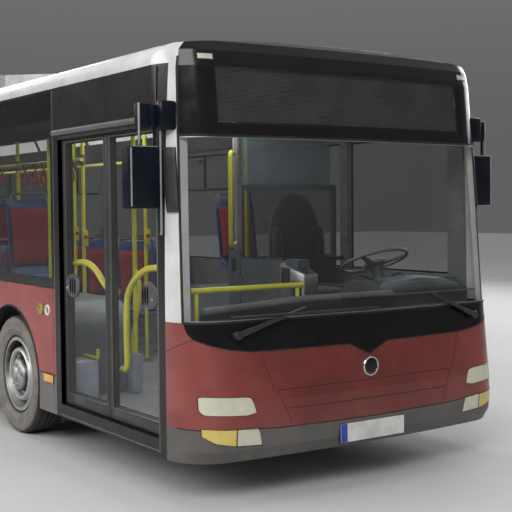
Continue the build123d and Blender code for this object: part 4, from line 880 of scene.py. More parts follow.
def box_piece(name, material, *boxes):
    """A piece of plain boxes: (low corner, high corner, bevel)."""
    bm = bmesh.new()
    for low, high, bevel in boxes:
        box_in(bm, low, high, bevel)
    return piece(name, bm, material)


# Wheels and tyres

TYRE_FACE_Y = 1.225
TYRE_WIDTH = 0.275
TWIN_SPACING = 0.312
WHEEL_Z = TYRE_RADIUS
NUTS = 10


def tyre_profile():
    """(distance in from the outer face, radius) points of the tyre with its grooves."""
    half = [(0.046, 0.286), (0.036, 0.297), (0.023, 0.303), (0.018, 0.312), (0.012, 0.322), (0.006, 0.338),
        (0.0035, 0.345), (0.0005, 0.349), (0.0005, 0.356), (0.0025, 0.361), (0.0, 0.375), (0.002, 0.395),
        (0.0005, 0.402), (0.0025, 0.409), (0.007, 0.422), (0.012, 0.436), (0.02, 0.446), (0.031, 0.4515),
        (0.062, 0.4528), (0.064, 0.44), (0.073, 0.44), (0.075, 0.4532), (0.113, 0.4538), (0.115, 0.44), (0.1235, 0.44),
        (0.1255, 0.454)]
    other = [(TYRE_WIDTH - d, r) for d, r in reversed(half)]
    return half + other


def make_tyre(name, axle_x, side, face_y, body):
    bm = bmesh.new()
    steps = 132
    profile = [(side * (face_y - d), r) for d, r in tyre_profile()]
    made = lathe_in(bm, profile, (axle_x, 0, WHEEL_Z), steps=steps)
    centre = Vector((axle_x, 0, WHEEL_Z))
    for vertex in made:
        d = face_y - side * vertex.co.y
        out = Vector((vertex.co.x - centre.x, 0, vertex.co.z - centre.z))
        radius = out.length
        index = round(math.atan2(out.z, out.x) / (2 * math.pi) * steps) % steps
        shoulder = radius > 0.435 and (d < 0.063 or d > TYRE_WIDTH - 0.063)
        block_cut = radius > 0.4525 and (0.074 < d < 0.114 or 0.161 < d < 0.201)
        if shoulder and index % 3 == 0:
            vertex.co -= out.normalized() * 0.008
        if block_cut and index % 3 == 1:
            vertex.co -= out.normalized() * 0.004
    return piece(name, bm, "rubber", body, 0.5)


def disc_in(bm, outer, inner, axle_x, side, holes, steps=120):
    """Wheel disc between two profiles of (y, radius), pierced by round hand holes."""
    centre = Vector((axle_x, 0, WHEEL_Z))

    def place(profile, step):
        turn = 2 * math.pi * step / steps
        out = Vector((math.cos(turn), 0, math.sin(turn)))
        return [centre + Vector((0, y, 0)) + out * r for y, r in profile]

    sheets = [[[bm.verts.new(p) for p in place(profile, step)] for step in range(steps)] for profile in (outer, inner)]
    bands = len(outer) - 1
    count, hole_radius, hole_size = holes

    def open_at(step, band):
        if not 0 <= band < bands:
            return False
        turn = 2 * math.pi * (step + 0.5) / steps
        radius = (outer[band][1] + outer[band + 1][1]) / 2
        nearest = round(turn / (2 * math.pi) * count) * 2 * math.pi / count
        across = (turn - nearest) * radius
        return math.hypot(across, (radius - hole_radius) * 1.15) < hole_size

    for step in range(steps):
        following = (step + 1) % steps
        for band in range(bands):
            if open_at(step, band):
                continue
            for sheet, flip in ((0, side < 0), (1, side > 0)):
                face = [sheets[sheet][step][band], sheets[sheet][step][band + 1], sheets[sheet][following][band + 1],
                    sheets[sheet][following][band]]
                bm.faces.new(face[::-1] if flip else face)
            walls = (((step - 1) % steps, band, (step, band), (step, band + 1)),
                (following, band, (following, band + 1), (following, band)),
                (step, band - 1, (following, band), (step, band)),
                (step, band + 1, (step, band + 1), (following, band + 1)))
            for near_step, near_band, a, b in walls:
                if open_at(near_step, near_band) or not 0 <= near_band < bands:
                    corners = [sheets[0][a[0]][a[1]], sheets[0][b[0]][b[1]], sheets[1][b[0]][b[1]],
                        sheets[1][a[0]][a[1]]]
                    bm.faces.new(corners)


def finer(profile, pieces=3):
    out = [profile[0]]
    for (a0, b0), (a1, b1) in zip(profile, profile[1:]):
        out += [(a0 + (a1 - a0) * (i + 1) / pieces, b0 + (b1 - b0) * (i + 1) / pieces) for i in range(pieces)]
    return out


def make_wheel(name, axle_x, side, body, front):
    """Steel wheel: rim, pierced disc, hub and nuts, all in one turning piece."""
    def y_of(d):
        return side * (TYRE_FACE_Y - d)

    def on_disc(turn, radius, d):
        return Vector((axle_x + math.cos(turn) * radius, y_of(d), WHEEL_Z + math.sin(turn) * radius))

    bm = bmesh.new()
    rim = [(0.03, 0.284), (0.03, 0.272), (0.024, 0.268), (0.024, 0.262), (0.036, 0.26), (0.052, 0.258), (0.07, 0.247),
        (0.12, 0.24), (0.17, 0.24), (0.215, 0.252), (0.245, 0.262), (0.245, 0.284)]
    centre = (axle_x, 0, WHEEL_Z)
    lathe_in(bm, [(y_of(d), r) for d, r in rim], centre, steps=96)
    if front:
        outer = [(0.15, 0.242), (0.147, 0.226), (0.118, 0.216), (0.074, 0.21), (0.048, 0.205), (0.036, 0.198),
            (0.031, 0.188), (0.034, 0.176), (0.052, 0.167), (0.08, 0.162), (0.092, 0.154), (0.094, 0.132)]
        hub = [(0.094, 0.134), (0.074, 0.13), (0.04, 0.124), (0.022, 0.116), (0.012, 0.102), (0.006, 0.082),
            (0.002, 0.066), (-0.006, 0.058), (-0.013, 0.05), (-0.016, 0.02), (-0.016, 0.0005), (0.1, 0.0005),
            (0.1, 0.134)]
        nut_at = (0.092, 0.1475)
    else:
        outer = [(0.19, 0.24), (0.22, 0.236), (0.25, 0.226), (0.268, 0.214), (0.278, 0.205), (0.279, 0.19),
            (0.279, 0.16), (0.279, 0.141)]
        hub = [(0.279, 0.143), (0.24, 0.128), (0.165, 0.118), (0.15, 0.112), (0.13, 0.098), (0.119, 0.07),
            (0.118, 0.0005), (0.16, 0.0005), (0.16, 0.1), (0.29, 0.12)]
        nut_at = (0.279, 0.1675)
    inner = [(d + 0.011, r) for d, r in outer]
    holes = (NUTS, 0.223, 0.01) if front else (NUTS, 0.2165, 0.021)
    disc_in(bm, finer([(y_of(d), r) for d, r in outer]), finer([(y_of(d), r) for d, r in inner]), axle_x, side, holes)
    lathe_in(bm, [(y_of(d), r) for d, r in hub], centre, steps=64)
    wheel_piece = piece(name, bm, "steel", body, 0.45)
    bm = bmesh.new()
    for index in range(NUTS):
        turn = 2 * math.pi * (index + 0.5) / NUTS
        at = on_disc(turn, nut_at[1], nut_at[0])
        bolt_in(bm, at, (0, side, 0), 0.0195, 0.022)
        bolt_in(bm, at + Vector((0, side * 0.022, 0)), (0, side, 0), 0.011, 0.009, 10)
    ring, d = (0.088, 0.004) if front else (0.098, 0.1295)
    for index in range(8):
        bolt_in(bm, on_disc(2 * math.pi * (index + 0.25) / 8, ring, d + 0.006), (0, side, 0), 0.009, 0.008)
    piece(name + "_nuts", bm, "nut", body, 0.5)
    bm = bmesh.new()
    turn = math.radians(35)
    foot, tip = on_disc(turn, 0.243, 0.075), on_disc(turn, 0.225, 0.03)
    tube_in(bm, [foot, (foot + tip) / 2, tip], 0.004, 8)
    piece(name + "_valve", bm, "plastic", body)
    return wheel_piece


for side, name in ((-1, "right"), (1, "left")):
    body = f"front_wheel_{name}"
    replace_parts(make_wheel(f"wheel_front_{name}", FRONT_AXLE_X, side, body, True), f"front_rim_{name}")
    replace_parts(make_tyre(f"tyre_front_{name}", FRONT_AXLE_X, side, TYRE_FACE_Y, body), f"front_tyre_{name}")
    body = f"rear_wheels_{name}"
    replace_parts(make_tyre(f"tyre_rear_outer_{name}", REAR_AXLE_X, side, TYRE_FACE_Y, body), f"rear_tyres_{name}")
    make_tyre(f"tyre_rear_inner_{name}", REAR_AXLE_X, side, TYRE_FACE_Y - TWIN_SPACING, body)
    make_wheel(f"wheel_rear_{name}", REAR_AXLE_X, side, body, False)

# Front: seams, lamps, badge, plate and wipers

SEAMS = (
    (((-0.697, 0.656), (0.697, 0.656)), 0.005),
    (((-0.625, 0.543), (0.625, 0.543)), 0.005),
    (((-0.697, 0.656), (-0.612, 0.462)), 0.003),
    (((0.697, 0.656), (0.612, 0.462)), 0.003),
    (((-0.798, 0.888), (-0.716, 0.65)), 0.0035),
    (((0.798, 0.888), (0.716, 0.65)), 0.0035),
)
BAND_EDGE = ((0, 0.815), (0.152, 0.883), (0.226, 0.885), (0.731, 0.888), (0.864, 0.892), (0.993, 0.91), (1.104, 0.939),
    (1.179, 0.973), (1.203, 1.011), (1.213, 1.062))
BUMPER_EDGE = ((0, 0.43), (0.697, 0.437), (0.98, 0.455), (1.18, 0.459), (1.245, 0.461))


def both_sides(line):
    return [(-y, z) for y, z in reversed(line) if y > 0] + list(line)


def on_nose(line):
    return [(nose_s(y), z) for y, z in line]


bm = bmesh.new()
for line, width in SEAMS:
    strip_in(bm, nose, dense(on_nose(line)), width, (-0.004, 0.0006))
for side in (-1, 1):
    line = [(side * nose_s(1.179), 0.973), (side * (nose_s(1.179) + 0.1), 0.935),
        (side * (nose_s(1.179) + 0.21), 0.893)]
    strip_in(bm, nose, dense(line, 0.02), 0.004, (-0.004, 0.0006))
strip_in(bm, nose, dense(on_nose(both_sides(BUMPER_EDGE)), 0.02), 0.006, (-0.004, 0.0014))
piece("front_seams", bm, "seam", angle=0.3)

bm = bmesh.new()
strip_in(bm, nose, dense(on_nose(both_sides(BAND_EDGE[:-1])), 0.02), 0.007, (-0.003, 0.0016))
piece("band_trim", bm, "rubber_trim", angle=0.3)

HEAD_TOP = ((0.847, 0.538), (0.875, 0.625), (0.9, 0.635), (1.17, 0.651), (1.179, 0.645))
HEAD_LOW = ((0.847, 0.538), (0.906, 0.527), (1.159, 0.544), (1.179, 0.577))
LOW_TOP = ((0.813, 0.347), (0.835, 0.452), (0.98, 0.455), (1.17, 0.468))
LOW_LOW = ((0.813, 0.347), (0.977, 0.355), (1.105, 0.381), (1.17, 0.424))


def lens_in(bm, side, y_range, top, low, lifts, count=22, rows=8, shrink=0.0):
    def limits(s):
        y = abs(nose_y[s])
        return between(low, y) + shrink, between(top, y) - shrink

    nose_y = {nose_s(side * y): y for y in spread(y_range[0] + shrink, y_range[1] - shrink, count)}
    patch_in(bm, nose, sorted(nose_y), limits, rows, lifts)


def bowl_in(bm, centre, radius, depth, ahead):
    """Reflector bowl opening along a direction."""
    ahead = Vector(ahead).normalized()
    side = ahead.orthogonal().normalized()
    other = ahead.cross(side)
    rows = []
    for k in range(9):
        share = k / 8
        d, r = -depth * (1 - share * share), radius * (0.12 + 0.88 * share)
        rows.append([Vector(centre) + ahead * d + (side * math.cos(i * math.pi / 14)
            + other * math.sin(i * math.pi / 14)) * r for i in range(28)])
    rows_in(bm, rows, caps=False)
    bm.faces.new([bm.verts.new(p) for p in rows[0]])


glass_bm, bezel_bm, amber_bm, bowl_bm, bulb_bm, back_bm = [bmesh.new() for _ in range(6)]
for side in (-1, 1):
    lens_in(glass_bm, side, (0.847, 1.179), HEAD_TOP, HEAD_LOW, (-0.004, 0.0015), shrink=0.003)
    lens_in(back_bm, side, (0.847, 1.179), HEAD_TOP, HEAD_LOW, (-0.044, -0.04), shrink=0.001)
    lens_in(amber_bm, side, (0.98, 1.17), LOW_TOP, LOW_LOW, (-0.01, 0.0015), shrink=0.003)
    lens_in(glass_bm, side, (0.813, 0.977), LOW_TOP, LOW_LOW, (-0.004, 0.0015), 12, 8, 0.003)
    lens_in(back_bm, side, (0.813, 1.17), LOW_TOP, LOW_LOW, (-0.044, -0.04), shrink=0.001)
    for y, z, radius in ((0.952, 0.586, 0.046), (1.09, 0.596, 0.04), (0.905, 0.405, 0.036)):
        at = nose(nose_s(side * y), z, -0.012)
        ahead = nose(nose_s(side * y), z, 0.1) - at
        bowl_in(bowl_bm, at, radius, 0.026, ahead)
        bolt_in(bulb_bm, at - ahead.normalized() * 0.024, ahead, 0.008, 0.018, 12)
    outline = [(nose_s(side * y), z) for y, z in list(HEAD_LOW) + list(reversed(HEAD_TOP[1:]))]
    strip_in(bezel_bm, nose, outline, 0.006, (-0.02, 0.0008), closed=True)
    outline = [(nose_s(side * y), z) for y, z in list(LOW_LOW) + list(reversed(LOW_TOP[1:]))]
    strip_in(bezel_bm, nose, outline, 0.006, (-0.02, 0.0008), closed=True)
    strip_in(bezel_bm, nose, [(nose_s(side * 0.9785), 0.357), (nose_s(side * 0.9785), 0.454)], 0.005, (-0.02, 0.0008))
piece("head_lamp_lenses", glass_bm, "cream_lens", angle=0.4)
piece("head_lamp_bezels", bezel_bm, "seam", angle=0.3)
piece("front_indicators", amber_bm, "amber_pale", angle=0.4)
piece("lamp_reflectors", bowl_bm, "chrome", angle=0.7)
piece("lamp_bulbs", bulb_bm, "bulb", angle=0.7)
piece("lamp_housings", back_bm, "chrome_soft", angle=0.4)

# Badge ring and blank disc
bm = bmesh.new()
at = nose(0, 0.735, 0.0)
lathe_in(bm, [(-0.004, 0.061), (0.005, 0.061), (0.0085, 0.058), (0.0085, 0.053), (0.003, 0.05), (-0.004, 0.05)], at,
    "X", 64)
piece("badge_ring", bm, "chrome", angle=0.5)
bm = bmesh.new()
lathe_in(bm, [(-0.003, 0.0), (-0.003, 0.0505), (0.0035, 0.0505), (0.0062, 0.03), (0.0068, 0.0)], at, "X", 64)
piece("badge_disc", bm, "black", angle=0.5)

# Blank plates, front and rear
PLATE_Z = (0.283, 0.409)


def plate_at(u, z, lift=0.0):
    """Flat plate leaning with the panel behind it, which bulges in its middle."""
    lean = NOSE_X - 0.0065 - max(0.0, (z - 0.345)) * 0.02
    return Vector((lean + lift, u, z))


bm = bmesh.new()
patch_in(bm, plate_at, spread(-0.262, 0.262, 6), lambda u: PLATE_Z, 2, (-0.012, 0.0018))
piece("plate_holder", bm, "plastic", angle=0.3)
bm = bmesh.new()
patch_in(bm, plate_at, spread(-0.256, 0.256, 6), lambda u: (PLATE_Z[0] + 0.006, PLATE_Z[1] - 0.006), 2, (0.0, 0.0042))
piece("plate_blank", bm, "plate", angle=0.3)
bm = bmesh.new()
patch_in(bm, plate_at, spread(-0.2545, -0.206, 2), lambda u: (PLATE_Z[0] + 0.0075, PLATE_Z[1] - 0.0075), 2,
    (0.003, 0.0052))
piece("plate_end_band", bm, "plate_blue", angle=0.3)


def screen_point(y, z, lift):
    return nose(nose_s(y), z, lift)


def wiper_arm(bm, pivot, tip):
    """Pressed arm from the spindle cover to the blade's middle, with its spring and joint."""
    root = screen_point(*pivot, 0.03)
    knee = screen_point(pivot[0] + (tip[0] - pivot[0]) * 0.26, pivot[1] + (tip[1] - pivot[1]) * 0.26, 0.036)
    end = screen_point(*tip, 0.03)
    for a, b, w0, w1 in ((root, knee, 0.021, 0.016), (knee, end, 0.014, 0.008)):
        along = (b - a).normalized()
        out = Vector((1, 0, 0))
        side = along.cross(out).normalized()
        out = side.cross(along)
        rows = []
        for k in range(9):
            t = k / 8
            w = w0 + (w1 - w0) * t
            p = a + (b - a) * t
            rows.append([p + side * w - out * 0.006, p + side * w * 0.8 + out * 0.005, p - side * w * 0.8 + out * 0.005,
                p - side * w - out * 0.006])
        rows_in(bm, rows)
    lathe_in(bm, [(-0.03, 0.0), (-0.03, 0.024), (0.006, 0.027), (0.016, 0.022), (0.019, 0.01), (0.019, 0.0)],
        root, "X", 28)
    tube_in(bm, [root + (knee - root) * t for t in (0.3, 0.5, 0.7, 0.95)], 0.005, 8)
    lathe_in(bm, [(-0.012, 0.0), (-0.012, 0.01), (0.01, 0.01), (0.01, 0.0)], knee, "X", 20)


def wiper_blade(bm, rubber, ends):
    """Blade with its bows, claws and rubber edge lying on the glass."""
    (y0, z0), (y1, z1) = ends
    path = [(y0 + (y1 - y0) * t / 24, z0 + (z1 - z0) * t / 24) for t in range(25)]
    rail = [screen_point(y, z, 0.019) for y, z in path]
    tube_in(bm, rail, 0.006, 8)
    rows = []
    for y, z in path:
        low, high = screen_point(y, z, 0.004), screen_point(y, z, 0.017)
        rows.append([low + Vector((0, 0, -0.0012)), low + Vector((0, 0, 0.0012)), high + Vector((0, 0, 0.003)),
            high + Vector((0, 0, -0.003))])
    rows_in(rubber, rows)
    for low, high, lift in ((1, 11, 0.03), (13, 23, 0.03), (6, 18, 0.038)):
        bow = []
        for k in range(low, high + 1):
            share = (k - low) / (high - low)
            arch = math.sin(math.pi * share) * (lift - 0.02)
            bow.append(screen_point(*path[k], 0.02 + arch))
        tube_in(bm, bow, 0.005, 8)


arm_bm, rubber_bm = bmesh.new(), bmesh.new()
wiper_arm(arm_bm, (-0.95, 0.99), (-0.48, 1.127))
wiper_blade(arm_bm, rubber_bm, ((-0.985, 1.095), (0.075, 1.098)))
wiper_arm(arm_bm, (0.95, 0.99), (0.51, 1.171))
wiper_blade(arm_bm, rubber_bm, ((-0.19, 1.168), (0.985, 1.16)))
wiper_piece = piece("wiper_arms", arm_bm, "plastic", angle=0.5)
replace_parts(wiper_piece, "wipers")
piece("wiper_rubbers", rubber_bm, "rubber_trim", angle=0.4)

# Doors: seals, glazing beads, plates and gear

LEAF_OUTER_Y = -1.22
LEAF_INNER_Y = -1.18
LEAF_Z = (0.372, 2.213)


def leaf_span(door_x, number):
    """Front and rear edge of a leaf."""
    high, low = door_x
    middle = (low + high) / 2
    return (middle + 0.003, high - 0.016) if number == 1 else (low + 0.016, middle - 0.003)


def frame_in(bm, x_range, z_range, y, width, depth, bevel=0.001):
    """Rectangular frame of four bars lying in a plane of constant y."""
    x0, x1 = x_range
    z0, z1 = z_range
    for low, high in (((x0, y, z0), (x1, y + depth, z0 + width)), ((x0, y, z1 - width), (x1, y + depth, z1)),
            ((x0, y, z0 + width), (x0 + width, y + depth, z1 - width)),
            ((x1 - width, y, z0 + width), (x1, y + depth, z1 - width))):
        box_in(bm, low, high, bevel, 1)


def smooth_path(points, steps=6):
    """Flowing curve through the points."""
    points = [Vector(point) for point in points]
    ends = [points[0] * 2 - points[1]] + points + [points[-1] * 2 - points[-2]]
    path = []
    for a, b, c, d in zip(ends, ends[1:], ends[2:], ends[3:]):
        for index in range(steps):
            t = index / steps
            path.append(0.5 * (2 * b + (c - a) * t + (2 * a - 5 * b + 4 * c - d) * t * t
                + (3 * b - a - 3 * c + d) * t ** 3))
    return path + [points[-1]]


STILE = 0.042
LEAF_FOOT = 0.078
LEAF_HEAD = 0.034
PIVOT_Y = -1.15
HANDLE_Y = -1.14
# Distances of the arm's pin and the roller's pin from the leaf's jamb edge
ARM_PIN = 0.318
ROLLER_PIN = 0.654
# Handles: distance from the leaf's jamb edge and height, with the foot at the meeting edge last
HANDLES = {
    1: ((0.02, 1.345), (0.113, 1.36), (0.213, 1.36), (0.315, 1.347), (0.424, 1.307), (0.519, 1.24), (0.577, 1.16),
    (0.598, 1.01), (0.597, 0.85), (0.594, 0.735), (0.618, 0.694), (0.65, 0.689)),
    2: ((0.02, 1.345), (0.09, 1.356), (0.175, 1.357), (0.275, 1.337), (0.365, 1.294), (0.45, 1.232), (0.535, 1.194),
    (0.65, 1.185)),
}


def leaf_frame(bm, x0, x1, jamb_x, way):
    """Leaf frame with its pivot lugs and pins."""
    y0, y1 = LEAF_OUTER_Y, LEAF_INNER_Y
    for low, high in (((x0, LEAF_Z[0]), (x0 + STILE, LEAF_Z[1])), ((x1 - STILE, LEAF_Z[0]), (x1, LEAF_Z[1])),
            ((x0 + STILE - 0.004, LEAF_Z[0]), (x1 - STILE + 0.004, LEAF_Z[0] + LEAF_FOOT)),
            ((x0 + STILE - 0.004, LEAF_Z[1] - LEAF_HEAD), (x1 - STILE + 0.004, LEAF_Z[1]))):
        box_in(bm, (low[0], y0, low[1]), (high[0], y1, high[1]), 0.006)
    for distance, low, high in ((ARM_PIN, LEAF_Z[1] - LEAF_HEAD, LEAF_Z[1]),
            (ROLLER_PIN, LEAF_Z[1] - LEAF_HEAD, LEAF_Z[1]), (ARM_PIN, LEAF_Z[0], LEAF_Z[0] + 0.03)):
        x = jamb_x + way * distance
        box_in(bm, (x - 0.024, y1 - 0.004, low), (x + 0.024, PIVOT_Y + 0.018, high), 0.003)
    for distance, low, high in ((ARM_PIN, 2.203, 2.237), (ARM_PIN, 0.348, 0.382), (ROLLER_PIN, 2.203, 2.265)):
        x = jamb_x + way * distance
        lathe_in(bm, [(low, 0.0), (low, 0.008), (high, 0.008), (high, 0.0)], (x, PIVOT_Y, 0), "Z", 16)


for door, door_x in (("front_door", FRONT_DOOR_X), ("middle_door", MIDDLE_DOOR_X)):
    for number in (1, 2):
        body = f"{door}_leaf_{number}"
        x0, x1 = leaf_span(door_x, number)
        jamb_x, way = (door_x[0], -1) if number == 1 else (door_x[1], 1)
        frame_bm = bmesh.new()
        leaf_frame(frame_bm, x0, x1, jamb_x, way)
        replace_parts(piece(f"{body}_frame", frame_bm, "door", body, 0.5), body)
        handle = bmesh.new()
        edge = x1 if number == 1 else x0
        line = [(edge + way * (distance if distance < 0.64 else 0.655), HANDLE_Y, z) for distance, z in HANDLES[number]]
        tube_in(handle, smooth_path(line), 0.021, 14)
        for x, y, z in (line[0], line[-1]):
            tube_in(handle, [(x, HANDLE_Y, z), (x, (HANDLE_Y + LEAF_INNER_Y) / 2, z), (x, LEAF_INNER_Y, z)], 0.014, 12)
        piece(f"{body}_handle", handle, "yellow", body, 0.7)
        bead = bmesh.new()
        frame_in(bead, (x0 + 0.036, x1 - 0.036), (0.444, 2.186), LEAF_OUTER_Y - 0.003, 0.007, 0.005)
        piece(f"{body}_bead", bead, "door_grey", body, 0.5)
        seal = bmesh.new()
        for x in (x0, x1):
            box_in(seal, (x - 0.007, LEAF_OUTER_Y - 0.001, LEAF_Z[0] + 0.004),
                (x + 0.007, LEAF_INNER_Y + 0.001, LEAF_Z[1] - 0.004), 0.004)
        box_in(seal, (x0 + 0.01, LEAF_OUTER_Y + 0.012, LEAF_Z[0] - 0.006),
            (x1 - 0.01, LEAF_INNER_Y - 0.012, LEAF_Z[0] + 0.004))
        frame_in(seal, (x0 + 0.04, x1 - 0.04), (0.45, 2.18), LEAF_INNER_Y - 0.002, 0.008, 0.006)
        piece(f"{body}_seals", seal, "rubber_trim", body, 0.5)
        plate, slots, dot = bmesh.new(), bmesh.new(), bmesh.new()
        plate_x = x1 - 0.132 if number == 1 else x0 + 0.15
        section = [(-1.218, 0.0), (-1.218, 0.088), (-1.226, 0.087), (-1.231, 0.08), (-1.232, 0.0)]
        for vertex in lathe_in(plate, section, (plate_x, 0, 1.2), "Y", 44):
            vertex.co.x = plate_x + (vertex.co.x - plate_x) * 1.22
            vertex.co.z = 1.2 + (vertex.co.z - 1.2) * 0.95
        # The slots are near-black bumps: painted shade in the plate's openings.
        for offset in (-0.072, -0.042, -0.012) if number == 1 else (-0.026, 0.008, 0.042):
            section = [(-1.228, 0.0), (-1.228, 0.06), (-1.2335, 0.054), (-1.2345, 0.0)]
            for vertex in lathe_in(slots, section, (plate_x + offset, 0, 1.2), "Y", 24):
                vertex.co.x = plate_x + offset + (vertex.co.x - plate_x - offset) * 0.19
        dot_x = plate_x + (0.05 if number == 1 else -0.078)
        lathe_in(dot, [(-1.23, 0.0), (-1.23, 0.011), (-1.236, 0.009), (-1.238, 0.0)], (dot_x, 0, 1.185), "Y", 20)
        piece(f"{body}_plate", plate, "door_plate", body, 0.5)
        piece(f"{body}_plate_slots", slots, "slot", body, 0.7)
        piece(f"{body}_plate_dot", dot, "chrome", body, 0.7)

bm = bmesh.new()
for front, rear in DOORS:
    for x0, x1 in ((front, front + 0.012), (rear - 0.012, rear)):
        box_in(bm, (x0, -1.2495, 0.362), (x1, -1.192, 2.223), 0.003)
    box_in(bm, (rear, -1.2495, 2.202), (front, -1.2275, 2.226), 0.003)
piece("door_edge_seals", bm, "rubber_trim")

# Grey strips on the door frames' jamb edges and along the sill's foot: partly the frames' own metal edges, partly
# painted highlights along them.
bm = bmesh.new()
for front, rear in DOORS:
    for x in (front + 0.004, rear - 0.08):
        box_in(bm, (x - 0.005, -1.2515, 0.278), (x + 0.005, -1.248, 2.555), 0.001, 1)
    box_in(bm, (rear, -1.2515, 0.286), (front, -1.248, 0.294), 0.001, 1)
piece("door_frame_edges", bm, "door_grey")
bm = bmesh.new()
for front, rear in DOORS:
    section = [(-1.247 - 0.019 * math.sin(math.pi * k / 10), 2.252 + 0.021 * math.cos(math.pi * k / 10))
        for k in range(11)]
    bar_in(bm, section, (rear - 0.076, rear - 0.07, front + 0.07, front + 0.076))
piece("door_head_bars", bm, "door_grey", angle=0.5)

bm = bmesh.new()
for front, rear in DOORS:
    for k in range(9):
        y = -1.176 + k * 0.016
        box_in(bm, (rear + 0.03, y - 0.004, FLOOR_TOP), (front - 0.03, y + 0.004, FLOOR_TOP + 0.004), 0.0015, 1)
piece("door_step_treads", bm, "alu")
bm = bmesh.new()
for front, rear in DOORS:
    box_in(bm, (rear + 0.03, -1.04, FLOOR_TOP), (front - 0.03, -0.995, FLOOR_TOP + 0.003), 0.001, 1)
piece("door_step_edges", bm, "yellow_mat")

# Side: buttons, marker lamps, arch lips and panel seams


def ring_button(name, x, side, z, ring, centre):
    """Round push button: a proud ring with a softer cap inside."""
    at = (x, side * HALF_WIDTH, z)
    bm = bmesh.new()
    section = ((-0.004, 0.026), (-0.004, 0.04), (0.007, 0.04), (0.011, 0.036), (0.011, 0.029), (0.007, 0.025))
    lathe_in(bm, [(side * d, r) for d, r in section], at, "Y", 40)
    piece(name + "_ring", bm, ring)
    bm = bmesh.new()
    section = ((-0.004, 0.0), (-0.004, 0.0255), (0.003, 0.0255), (0.006, 0.018), (0.007, 0.0))
    lathe_in(bm, [(side * d, r) for d, r in section], at, "Y", 32)
    piece(name + "_cap", bm, centre)


ring_button("door_button_yellow", NOSE_X - 2.205, -1, 1.006, "button_yellow", "lime")
ring_button("door_button_white", NOSE_X - 2.079, -1, 1.006, "white_mat", "pad_grey")
ring_button("door_button_middle", 1.14, -1, 1.1, "white_mat", "pad_grey")

SIDE_MARKERS = (-1.05, -3.95, -5.3)
amber, holder = bmesh.new(), bmesh.new()
for side in (-1, 1):
    skin = wall_skin(side)
    for x in (NOSE_X - 2.085,) + SIDE_MARKERS:
        patch_in(amber, skin, spread(x - 0.084, x + 0.084, 8), lambda u: (0.489, 0.545), 4, (-0.004, 0.0055))
        strip_in(holder, skin, [(x - 0.087, 0.486), (x + 0.087, 0.486), (x + 0.087, 0.548), (x - 0.087, 0.548)], 0.006,
            (-0.004, 0.0045), closed=True)
piece("side_marker_lenses", amber, "amber")
piece("side_marker_frames", holder, "satin_black")

LIP_SECTION = ((0.53, 1.182), (0.529, 1.252), (0.532, 1.257), (0.54, 1.2565), (0.546, 1.2502), (0.541, 1.249),
    (0.541, 1.182))
lips = bmesh.new()
for side in (-1, 1):
    for axle_x in (FRONT_AXLE_X, REAR_AXLE_X):
        centre = Vector((axle_x, 0, TYRE_RADIUS))
        rows = []
        for k in range(61):
            turn = math.radians(-19 + 218 * k / 60)
            out = Vector((math.cos(turn), 0, math.sin(turn)))
            rows.append([centre + out * r + Vector((0, side * y, 0)) for r, y in LIP_SECTION])
        rows_in(lips, [row for row in rows if row[2].z > 0.276])
piece("arch_lips", lips, "rubber_trim")

bm = bmesh.new()
LINES = {
    -1: (4.0, 1.12, -0.65, -1.45, -1.92, -3.45, -4.5, -5.45),
    1: (5.4, 4.0, 2.3, 1.1, -0.2, -1.45, -1.92, -3.45, -4.5, -5.45),
}
SPANS = {
    -1: ((5.58, 5.53), (4.03, 3.72), (2.66, 1.02), (-0.56, -2.16), (-3.21, -5.66)),
    1: ((5.58, 3.72), (2.66, -2.16), (-3.21, -5.66)),
}
for side, stations in LINES.items():
    skin = wall_skin(side)
    for x in stations:
        if side < 0 and (4.03 < x < 5.62 or -0.56 < x < 1.02):
            continue
        strip_in(bm, skin, [(x, 0.278), (x, 1.164)], 0.005, (-0.003, 0.0005))
    for x0, x1 in SPANS[side]:
        for z, width in ((SKIRT_TOP, 0.006), (WAIST_TOP, 0.007)):
            strip_in(bm, skin, dense([(x0, z), (x1, z)], 0.4), width, (-0.003, 0.0005))
piece("side_panel_seams", bm, "seam", angle=0.3)

# Near-black sheets behind the engine room's side grilles: painted shade for the dark room behind them
bm = bmesh.new()
for side in (-1, 1):
    y0, y1 = sorted((side * 1.15, side * 1.1895))
    box_in(bm, (-5.53, y0, 0.585), (-4.68, y1, 1.035), 0.004)
piece("grille_shade_sheets", bm, "slot")

# Flap locks along the skirt and the waist
bm = bmesh.new()
for side in (-1, 1):
    for x in (1.35, -1.52, -3.52, -4.57, -4.43, -5.38):
        for z in (0.62, 1.09):
            section = ((-0.003, 0.0), (-0.003, 0.016), (0.0025, 0.014), (0.0025, 0.008), (0.0005, 0.006), (0.0005, 0.0))
            lathe_in(bm, [(side * d, r) for d, r in section], (x, side * HALF_WIDTH, z), "Y", 20)
piece("flap_locks", bm, "satin_black")

